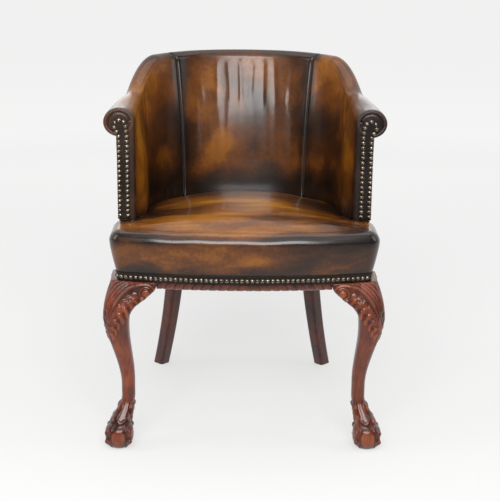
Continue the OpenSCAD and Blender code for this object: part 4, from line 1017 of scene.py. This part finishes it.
def rib(field, points, widths, heights, power=1.0, n=120):
    """Lays a rounded ridge along a curve, from its first width and height to its last."""
    for t, (p, z) in zip(np.linspace(0, 1, n), spline(points, n)):
        w, h = mix(*widths, t), mix(*heights, t)
        i0, i1 = max(int((p - w - P0) / STEP), 0), min(int((p + w - P0) / STEP) + 2, PN)
        j0, j1 = max(int((z - w - Z0) / STEP), 0), min(int((z + w - Z0) / STEP) + 2, ZN)
        if i1 > i0 and j1 > j0:
            part = field[i0:i1, j0:j1]
            d2 = ((PP[i0:i1, j0:j1] - p) ** 2 + (ZZ[i0:i1, j0:j1] - z) ** 2) / (w * w)
            np.maximum(part, h * np.maximum(0, 1 - d2) ** power, out=part)


def carving():
    up, cut = np.zeros((PN, ZN)), np.zeros((PN, ZN))
    # leaf that hangs down the outer half of the knee, with lobes on both sides of its stem
    stem = [(40, 358), (26, 346), (12, 331), (0, 313), (-7, 294), (-10, 275), (-9, 254)]
    lobes = [((36, 354), (44, 346), (49, 336), 6.0), ((26, 346), (34, 337), (37, 326), 6.2),
             ((15, 335), (23, 325), (25, 313), 6.4), ((5, 321), (12, 311), (14, 300), 6.0),
             ((-3, 306), (4, 297), (5, 286), 5.4), ((-8, 290), (-2, 282), (-1, 272), 4.8),
             ((-10, 275), (-6, 268), (-5, 259), 4.2)]
    rib(up, stem, (9, 3.2), (2.4, 1.6), 0.5)
    rib(cut, stem, (1.5, 1.0), (1.8, 1.0))
    for *curve, w in lobes:
        rib(up, curve, (w, w * 0.6), (4.0, 3.2), n=90)
        rib(cut, curve, (1.4, 0.9), (1.0, 0.7), n=90)
    for (p, z), _, _, w in lobes[:-1]:
        curve = [(p - 7, z + 1), (p - 15, z - 10), (p - 19, z - 23)]
        rib(up, curve, (w * 0.85, w * 0.5), (3.2, 2.4), n=90)
        rib(cut, curve, (1.2, 0.8), (0.8, 0.5), n=90)
    # long blades that sweep from the top of the bracket over the knee
    for widths, heights, *curve in (
            ((3.2, 2.4), (3.0, 1.8), (86, 388), (58, 390.5), (36, 387), (17, 377), (0, 359), (-12, 338),
             (-19, 314)),
            ((3.0, 2.2), (2.8, 1.6), (56, 393), (34, 391), (17, 384), (1, 369), (-12, 350), (-20, 328)),
            ((2.8, 2.0), (2.6, 1.4), (34, 395), (17, 391), (2, 380), (-11, 363), (-20, 343)),
            ((2.6, 1.8), (2.4, 1.2), (16, 394), (2, 389), (-10, 377), (-20, 358))):
        rib(up, curve, widths, heights, 0.7)
    # the main scroll: from the eye round the end of the bracket, and down the outer edge of the knee
    rib(up, [(55, 352), (66, 349.5), (77, 354.5), (83, 364), (82, 375), (73, 382.5), (58, 384.5), (40, 381),
             (24, 372.5), (9, 358), (-4, 339), (-13, 317), (-17, 294), (-16, 270), (-11, 246)],
        (3.8, 2.4), (4.4, 1.8), 0.7, 260)
    rib(up, [(53, 358), (52, 367), (56, 375), (65, 378.5), (74, 374.5), (76.5, 366)],
        (2.1, 2.1), (2.6, 2.6), 0.7)
    eye = np.hypot(PP - EYE_P, ZZ - EYE_H)
    up = np.maximum(up, 3.6 * (1 - rounded(eye / EYE_R)) + 1.0 * (eye < EYE_R))
    cut = np.maximum(cut, 1.4 * bell(eye - EYE_R - 1.2, 1.1))
    h = up - cut * (up > 0.2)
    for axis in (0, 1) * 4:
        h = np.apply_along_axis(np.convolve, axis, h, (0.25, 0.5, 0.25), "same")
    return h


RELIEF = carving()


def relief(p, z):
    """Height of the carving at places on the pattern."""
    i, j = np.clip((p - P0) / STEP, 0, PN - 1.001), np.clip((z - Z0) / STEP, 0, ZN - 1.001)
    a, b = i.astype(int), j.astype(int)
    u, v = i - a, j - b
    return mix(mix(RELIEF[a, b], RELIEF[a + 1, b], u), mix(RELIEF[a, b + 1], RELIEF[a + 1, b + 1], u), v)


def axis_in(z):
    """How far the middle of the leg lies inwards of the middle of the foot."""
    return np.where(z < SHIN_H, ANKLE_IN * smooth((z / FOOT_H - 0.35) / 0.75),
                    np.where(z < KNEE_H, ANKLE_IN * (1 - smooth((z - SHIN_H) / (KNEE_H - SHIN_H))),
                             TOP_IN * np.maximum(0, (z - KNEE_H) / (LEG_H - KNEE_H)) ** 1.8))


def leg_half(z):
    shin = np.maximum(0, (z - SHIN_H) / (KNEE_H - SHIN_H)) ** 1.3
    knee = mix(KNEE_HALF, TOP_HALF, (z - KNEE_H) / (LEG_H - KNEE_H))
    return np.where(z < SHIN_H, ANKLE_HALF, np.where(z < KNEE_H, mix(ANKLE_HALF, KNEE_HALF, shin), knee))


def foot_half(z):
    ball = BALL_R * (1 - np.minimum(1, np.abs(z - BALL_MID) / BALL_REACH) ** 2.4) ** (1 / 2.4)
    collar = mix(22, ANKLE_HALF, smooth((z - 2 * BALL_MID) / (FOOT_H - 2 * BALL_MID)))
    return np.where(z < BALL_MID, ball, np.maximum(ball, collar))


def leg_surface():
    z = np.concatenate([np.linspace(1.5, FOOT_H, 118)[:-1], np.linspace(FOOT_H, LEG_H, 200)])
    Z, A = np.meshgrid(z, 360 * np.arange(224) / 224, indexing="ij")
    from_toe = np.abs((A % 90) - 45)
    beside = smooth((from_toe - 13) / 10)
    # toes: three joints and a claw, wide at the joints and drawn in between them
    joint = 0.5 + 0.5 * cosd(360 * (Z - 92) / 24)
    width = mix(7.0, 10.5, joint) * mix(0.45, 1, smooth((Z - 6) / 20))
    toe = np.exp(-(from_toe / width) ** 3.0)
    high = TOE_H * smooth((FOOT_H + 4 - Z) / 16) * mix(0.3, 1, smooth(Z / 20)) * mix(0.52, 1.04, joint ** 0.8)
    high = high * np.where(Z < 26, mix(0.86, 1.0, smooth(Z / 26)), 1)
    web = 0.9 * bell(from_toe - 31, 9) * smooth((Z - 62) / 14) * smooth((FOOT_H - Z) / 16)
    groove = 1.5 * bell(from_toe - width * 1.32, 4.0) * smooth((Z - 3) / 6) * smooth((92 - Z) / 12)
    claw = 0.9 * bell(Z - 25.5, 1.6)
    scales = 0.35 * np.sin(Z * 1.25) * smooth((Z - 34) / 8) * smooth((96 - Z) / 10)
    # a raised lip where the web meets the ball
    brow = (3.4 * bell(Z - (61 + 9 * (1 - bell(from_toe - 45, 20))), 4.5) - 1.8 * bell(Z - 53, 4.0)) * beside
    foot_r = foot_half(Z) + (high - claw + scales) * toe + web + brow - groove
    leg_r = leg_half(Z) * squarish(A, mix(2.2, 3.4, smooth((Z - FOOT_H) / (LEG_H - FOOT_H))))
    leg_r = leg_r + 0.8 * toe * smooth((FOOT_H + 30 - Z) / 30)
    r = mix(foot_r, leg_r, smooth((Z - FOOT_H + 8) / 12))
    x, y = FOOT_X - axis_in(Z) + r * cosd(A), axis_in(Z) + r * sind(A)
    # carving on the two outer faces
    p = np.where((A > 190) & (A <= 315), FOOT_X - x, y)
    outer = smooth((112 - np.minimum(np.abs(A - 315), 360 - np.abs(A - 315))) / 26)
    height = relief(p, Z) * outer
    x, y = x + height * cosd(A), y + height * sind(A)
    # darker in hollows, paler on ridges and toe joints; painted highlight on the ball, painted shade under
    # the lip
    leg_c = mix(np.where(Z > FOOT_H + 30, 0.62, 0.5), 0.12 + 0.3 * height, smooth((Z - 236) / 40) * outer)
    toe_c = mix(0.1, 0.42, smooth((Z - 66) / 18) * smooth((from_toe - 16) / 12)) + 0.55 * toe * joint
    ball_c = 0.9 * smooth(2.2 * (1 - ((from_toe - 45) / 34) ** 2 - ((Z - 27) / 25) ** 2))
    foot_c = np.maximum(toe_c * (1 - 0.8 * bell(Z - 54, 6) * beside), ball_c)
    carve = mix(foot_c, leg_c, smooth((Z - FOOT_H + 2) / 26))
    return *tube_mesh(np.stack([x, y, Z], -1), None), np.clip([*carve.ravel(), 0.1, 0.3], 0, 1)


def sole_disc():
    a = 360 * np.arange(64) / 64
    pts, faces = tube_mesh([at_height(np.stack([FOOT_X + r * cosd(a), r * sind(a)], -1), z)
                            for r, z in ((12.4, 0.0), (13, 0.6), (13, 3.0))], None)
    return pts, faces, np.full(len(pts), 0.15)


def leg_post():
    """The square top of the leg, between the rails."""
    edge = front_half(RAIL_FRONT_IN, POST_BACK_Y, (60, 10, 2))
    edge = edge[(edge[:, 0] > POST_IN_X + 1) & (edge[:, 1] < POST_BACK_Y - 1)]
    inner = [[POST_IN_X, POST_BACK_Y], [POST_IN_X, RAIL_FRONT_IN + 0.5 - behind_bow(POST_IN_X, 0)]]
    outline = np.delete(np.concatenate([inner, edge, [[POST_OUT_X, POST_BACK_Y]]]), 4, 0)
    pts, faces = tube_mesh([at_height(outline, z) for z in (LEG_H - 12, LEG_H, RAIL_TOP_H)], None)
    return pts, faces, np.full(len(pts), 0.1)


# Outline of a bracket: share of its rise and share of its length
EAR_CURVE = ((0.0, 0.0), (0.1, 0.05), (0.23, 0.15), (0.35, 0.31), (0.46, 0.5), (0.57, 0.68), (0.68, 0.84),
             (0.79, 0.96), (0.9, 1.0), (1.0, 1.0))


def ear_surface(face_out, thick, cut_from):
    """A bracket beside the knee, with its face at -face_out. Points come as p, depth and height, and its
    back is cut away for the leg's post as far as cut_from."""
    z0, deep = LEG_H - EAR_RISE, -face_out + thick
    zs = np.linspace(z0 + 1.5, LEG_H - 0.2, 96)
    ends = KNEE_HALF + EAR_L * np.interp((zs - z0) / EAR_RISE, *spline(EAR_CURVE, 400).T)
    across = np.delete(np.concatenate([np.linspace(0, 0.8, 74)[:-1], np.linspace(0.8, 1, 40)]), 5)
    rings, carve = [], []
    for z, e in zip(zs, ends):
        inner = KNEE_HALF - 16 + float(axis_in(z)) / 5
        p = mix(inner, e, across)
        leg_face = float(leg_half(z)) - float(axis_in(z))
        plane = mix(leg_face - 0.5, face_out, smooth((p - KNEE_HALF + 6) / 24))
        rim = 6.5 * rounded(1 - np.minimum(1, (e - p) / 7.0)) + 1.2 * rounded(1 - min(1.0, (LEG_H - z) / 3.0))
        h = relief(p, np.full_like(p, z)) * smooth((p - inner) / 6)
        d = -(plane - rim + h)
        if e > cut_from + 4:
            back = [(e, mix(d[-1], deep, 0.5)), (e - 1.0, deep), (cut_from + 1, deep), (cut_from, -1.0)]
        else:
            low = min(deep, -1.0)
            back = [(e, min(mix(d[-1], deep, 0.5), -1.0)), (e - 1.0, -1.0), (mix(e, inner, 0.4), low),
                    (mix(e, inner, 0.6), -1.0)]
        back += [(mix(inner, min(e, cut_from), 0.5), -1.0), (inner, -1.0)]
        rings.append(at_height(np.concatenate([np.stack([p, d], -1), back]), z))
        in_eye = np.hypot(p - EYE_P, z - EYE_H) < EYE_R - 0.6
        carve.append(np.concatenate([np.where(in_eye, 0.95, 0.12 + 0.3 * h), np.full(len(back), 0.3)]))
    return *tube_mesh(rings), np.clip(np.concatenate(carve), 0, 1)


parts = leg_surface(), sole_disc(), leg_post()
pair("carved_leg", joined([x[:2] for x in parts]), WOOD, "front_leg", "mahogany",
     carve=np.concatenate([x[2] for x in parts]))
q, faces, carve = ear_surface(EAR_OUT - RAIL_FACE_Y, EAR_T, FOOT_X - POST_IN_X + GAP)
pair("carved_ear_front", (np.stack([FOOT_X - q[:, 0], q[:, 1], q[:, 2]], -1), faces), WOOD,
     "ear_front", "mahogany", carve=carve)
q, faces, carve = ear_surface(POST_OUT_X + EAR_OUT - FOOT_X, EAR_SIDE_T, POST_BACK_Y + GAP)
pair("carved_ear_side", (np.stack([FOOT_X - q[:, 1], q[:, 0], q[:, 2]], -1), faces), WOOD,
     "ear_side", "mahogany", carve=carve)


# Back legs
def back_leg():
    z = np.concatenate([[0.0, 0.5], np.linspace(1.5, RAIL_BOTTOM_H, 80), [RAIL_TOP_H - 0.2]])[:, None]
    up = np.minimum(z / RAIL_BOTTOM_H, 1)
    top = wall(LEG_SHARE, RAIL_TOP_H, FRAME_OUT - BACK_LEG_IN - CURVE_GAP)
    splay = (1 - up) ** 1.6
    turned = mix(45, turn_at(LEG_SHARE), smooth(2 * up - 1))
    th = 360 * (np.arange(48) + 0.5) / 48
    chamfer = np.where(z < 0.2, 0.8, 0.0)
    r = squarish(th, 7.0)
    a = (mix(BACK_FOOT_W, BACK_LEG_TOP_W, smooth(up)) / 2 - chamfer) * r * cosd(th)
    b = (mix(BACK_FOOT_T, BACK_LEG_TOP_T, smooth(up)) / 2 - chamfer) * r * sind(th)
    x = top[0] + splay * BACK_FOOT_OUT + a * cosd(turned) - b * sind(turned)
    y = top[1] + splay * BACK_FOOT_BACK + a * sind(turned) + b * cosd(turned)
    return tube_mesh(np.stack([x, y, z + 0 * a], -1), None)


pair("swept_leg", back_leg(), PLAIN_WOOD, "back_leg", "mahogany")

# What is hidden or small keeps its CAD shape.
FRAME_NODES = ("front_rail", "side_rail", "back_rail", "corner_block", "arm_post", "back_post", "arm_rail",
               "crest_rail")
for material, starts in ((BEECH, FRAME_NODES), (STEEL, "seat_springs"), (NAIL, "nails_")):
    for node_name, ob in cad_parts.items():
        if node_name.startswith(starts):
            ob.data.materials.clear()
            ob.data.materials.append(material)


# Cloth and webs below the seat
def node_box(node_name):
    """The corners of a CAD node's box in millimetres."""
    return np.array(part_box(node_name)) * 1000 + (0, MID_Y, 0)


def web(x0, x1, y0, y1, z0, z1, nx, ny):
    """A thin flat sheet."""
    x, y = np.meshgrid(np.linspace(x0, x1, nx), np.linspace(y0, y1, ny), indexing="ij")
    xy = np.stack([x, y], -1)
    return tube_mesh(np.concatenate([at_height(xy, z1), at_height(xy[:, ::-1], z0)], 1))


def dust_outline():
    side = np.linspace(STRAIGHT * (POST_BACK_Y + 60 - ARM_FRONT_Y) / (corner_y(RAIL_TOP_H) - ARM_FRONT_Y),
                       LEG_SHARE - 0.1, 20)
    rear = np.linspace(LEG_SHARE + 0.1, 1, 20)[:-1]
    tub = wall(np.concatenate([side, rear]), RAIL_TOP_H, FRAME_IN)[:, :2]
    front = bow_pt(np.linspace(0.5, EAR_END_X - RAIL_T, 30), GADROON_BACK + RAIL_T)
    return whole(np.concatenate([front, tub]))


def sagging(outline, z0, z1, sag=5.0):
    """A thin cloth that hangs a little in its middle."""
    middle = np.array([0.0, (outline[:, 1].min() + outline[:, 1].max()) / 2])
    low, high = [[at_height(middle + (outline - middle) * k, z - sag * (1 - k * k))
                  for k in np.linspace(1, 0.04, 16)] for z in (z0, z1)]
    return tube_mesh(high[::-1] + low, None)


outline = dust_outline()
low, high = node_box("bottom_cloth")
cloth = piece("dust_cloth", sagging(outline, low[2], high[2]), BLACK_CLOTH, ["bottom_cloth"], "black_cloth")

low, high = node_box("spring_canvas")
canvas = piece("spring_canvas_sheet", web(*np.stack([low, high], 1).ravel(), 60, 60), CANVAS,
               ["spring_canvas"], "canvas")

low, high = node_box("webbing_across")
webs = [web(low[0], high[0], y - WEB_W / 2, y + WEB_W / 2, low[2], high[2], 80, 12)
        for y in (WEB_Y0, WEB_Y0 + WEB_STEP, WEB_Y0 + 2 * WEB_STEP)]
piece("webs_across", joined(webs), CANVAS, ["webbing_across"], "canvas")

low, high = node_box("webbing_lengthwise")
webs = []
for x in (-WEB_X, 0, WEB_X):
    reach = abs(x) + WEB_W / 2
    y0 = bow_pt(reach, GADROON_BACK + CURVE_GAP)[1]
    arc_r = BACK_ARC_R + (FRAME_IN + FRAME_OUT) / 2
    y1 = corner_y(RAIL_TOP_H) - ARC_STEP * sind(TURN) + math.sqrt(arc_r ** 2 - reach ** 2)
    webs.append(web(x - WEB_W / 2, x + WEB_W / 2, y0, y1, low[2], high[2], 12, 80))
piece("webs_lengthwise", joined(webs), CANVAS, ["webbing_lengthwise"], "canvas")


# Floor, world, light and camera. What the camera and reflections see is pale, and the light on the object is
# plain. In reflections the front end of the studio is nearly unlit.
def seen_by(nt, *rays):
    """1 for rays of these kinds."""
    path = node(nt, "LightPath", {}).outputs
    fac = path["Is Camera Ray"]
    for ray in rays:
        fac = calc(nt, "MAXIMUM", fac, path["Is %s Ray" % ray])
    return fac


def picked(nt, hidden, shown):
    """One shader for the light on the object, and the other for what is seen."""
    return node(nt, "MixShader", {0: seen_by(nt, "Glossy", "Transmission"), 1: hidden, 2: shown}).outputs[0]


def lit_end(nt, place, dark_y, lit_y, least):
    """How much of the studio's glow is left at a depth: all of it for the camera."""
    y = node(nt, "SeparateXYZ", {0: place}).outputs["Y"]
    return calc(nt, "MAXIMUM", seen_by(nt), span(nt, y, dark_y, lit_y, least, 1.0))


def studio_floor():
    """Its shadow shows in the faint part of what is seen."""
    m, nt = new_surface("studio_floor")
    place = node(nt, "NewGeometry", {}).outputs["Position"]
    away = node(nt, "VectorMath", {0: place}, operation="LENGTH").outputs["Value"]
    level = span(nt, away, 0.7, 4.4, 0.58, 0.79)
    strength = calc(nt, "MULTIPLY", lit_end(nt, place, -1.3, -0.3, 0.15), level)
    plain, faint = [node(nt, "BsdfDiffuse", {"Color": colour}).outputs[0]
                    for colour in ((0.6, 0.6, 0.59, 1), (0.3, 0.3, 0.295, 1))]
    glow = node(nt, "Emission", {"Color": (1.0, 1.0, 0.99, 1), "Strength": strength}).outputs[0]
    shown = node(nt, "AddShader", {0: faint, 1: glow}).outputs[0]
    node(nt, "OutputMaterial", {0: picked(nt, plain, shown)})
    return m


def softbox(name, place, target, wide, high, power):
    lamp = assign(bpy.data.lights.new(name, "AREA"), shape="RECTANGLE", size=wide, size_y=high, energy=power)
    ob = bpy.data.objects.new(name, lamp)
    ob.location = place
    ob.rotation_euler = (Vector(target) - Vector(place)).to_track_quat("-Z", "Y").to_euler()
    bpy.context.scene.collection.objects.link(ob)


scene = bpy.context.scene
FLOOR_HALF = 30.0
me = bpy.data.meshes.new("floor")
corners = [(x * FLOOR_HALF, y * FLOOR_HALF, 0) for x, y in ((-1, -1), (1, -1), (1, 1), (-1, 1))]
me.from_pydata(corners, [], [(0, 1, 2, 3)])
me.materials.append(studio_floor())
floor = bpy.data.objects.new("floor", me)
scene.collection.objects.link(floor)

scene.world = bpy.data.worlds.new("studio")
scene.world.use_nodes = True
nt = scene.world.node_tree
nt.nodes.clear()
fill = node(nt, "Background", {"Color": (0.92, 0.95, 1.0, 1), "Strength": 0.3}).outputs[0]
way = node(nt, "TexCoord", {}).outputs["Generated"]
glow = lit_end(nt, way, -0.1, 0.5, 0.1)
seen = node(nt, "Background", {"Color": (0.9, 0.905, 0.905, 1), "Strength": glow}).outputs[0]
node(nt, "OutputWorld", {0: picked(nt, fill, seen)})

softbox("key", (0.1, -1.3, 3.0), (0, 0, 0.5), 2.6, 2.0, 20)
softbox("front", (-0.1, -3.2, 2.4), (0, 0, 0.6), 2.7, 1.55, 136)
softbox("top", (0.0, 0.4, 3.0), (0, 0.1, 0.5), 3.0, 1.0, 16)
softbox("left", (-2.6, -0.6, 1.9), (0, 0, 0.5), 1.0, 1.8, 18)
softbox("right", (2.6, -0.5, 1.9), (0, 0, 0.5), 1.0, 1.8, 14)
softbox("rear", (0.0, 3.2, 1.3), (0, 0, 0.6), 2.4, 0.9, 6)

# The camera's focal length is FOCAL pixels in a picture PICTURE_H high; its place and turns were fitted to
# the feet, the arms and the back.
FOCAL, PICTURE_H, SENSOR = 1150, 501, 36
CAMERA_X, CAMERA_Y, CAMERA_Z = -0.0245853, -2.40, 1.10
CAMERA_PAN, CAMERA_DOWN, CAMERA_ROLL = -0.0149780612, 0.261315618, 0.0101891918
lens = assign(bpy.data.cameras.new("camera"), sensor_fit="AUTO", sensor_width=SENSOR,
              lens=FOCAL * SENSOR / PICTURE_H, clip_start=0.05, clip_end=100)
camera = bpy.data.objects.new("camera", lens)
camera.matrix_world = (Matrix.Translation((CAMERA_X, CAMERA_Y - MID_Y / 1000, CAMERA_Z))
                       @ Matrix.Rotation(CAMERA_PAN, 4, "Z")
                       @ Matrix.Rotation(math.pi / 2 - CAMERA_DOWN, 4, "X")
                       @ Matrix.Rotation(CAMERA_ROLL, 4, "Z"))
scene.collection.objects.link(camera)
scene.camera = camera
scene.view_settings.view_transform = "Standard"
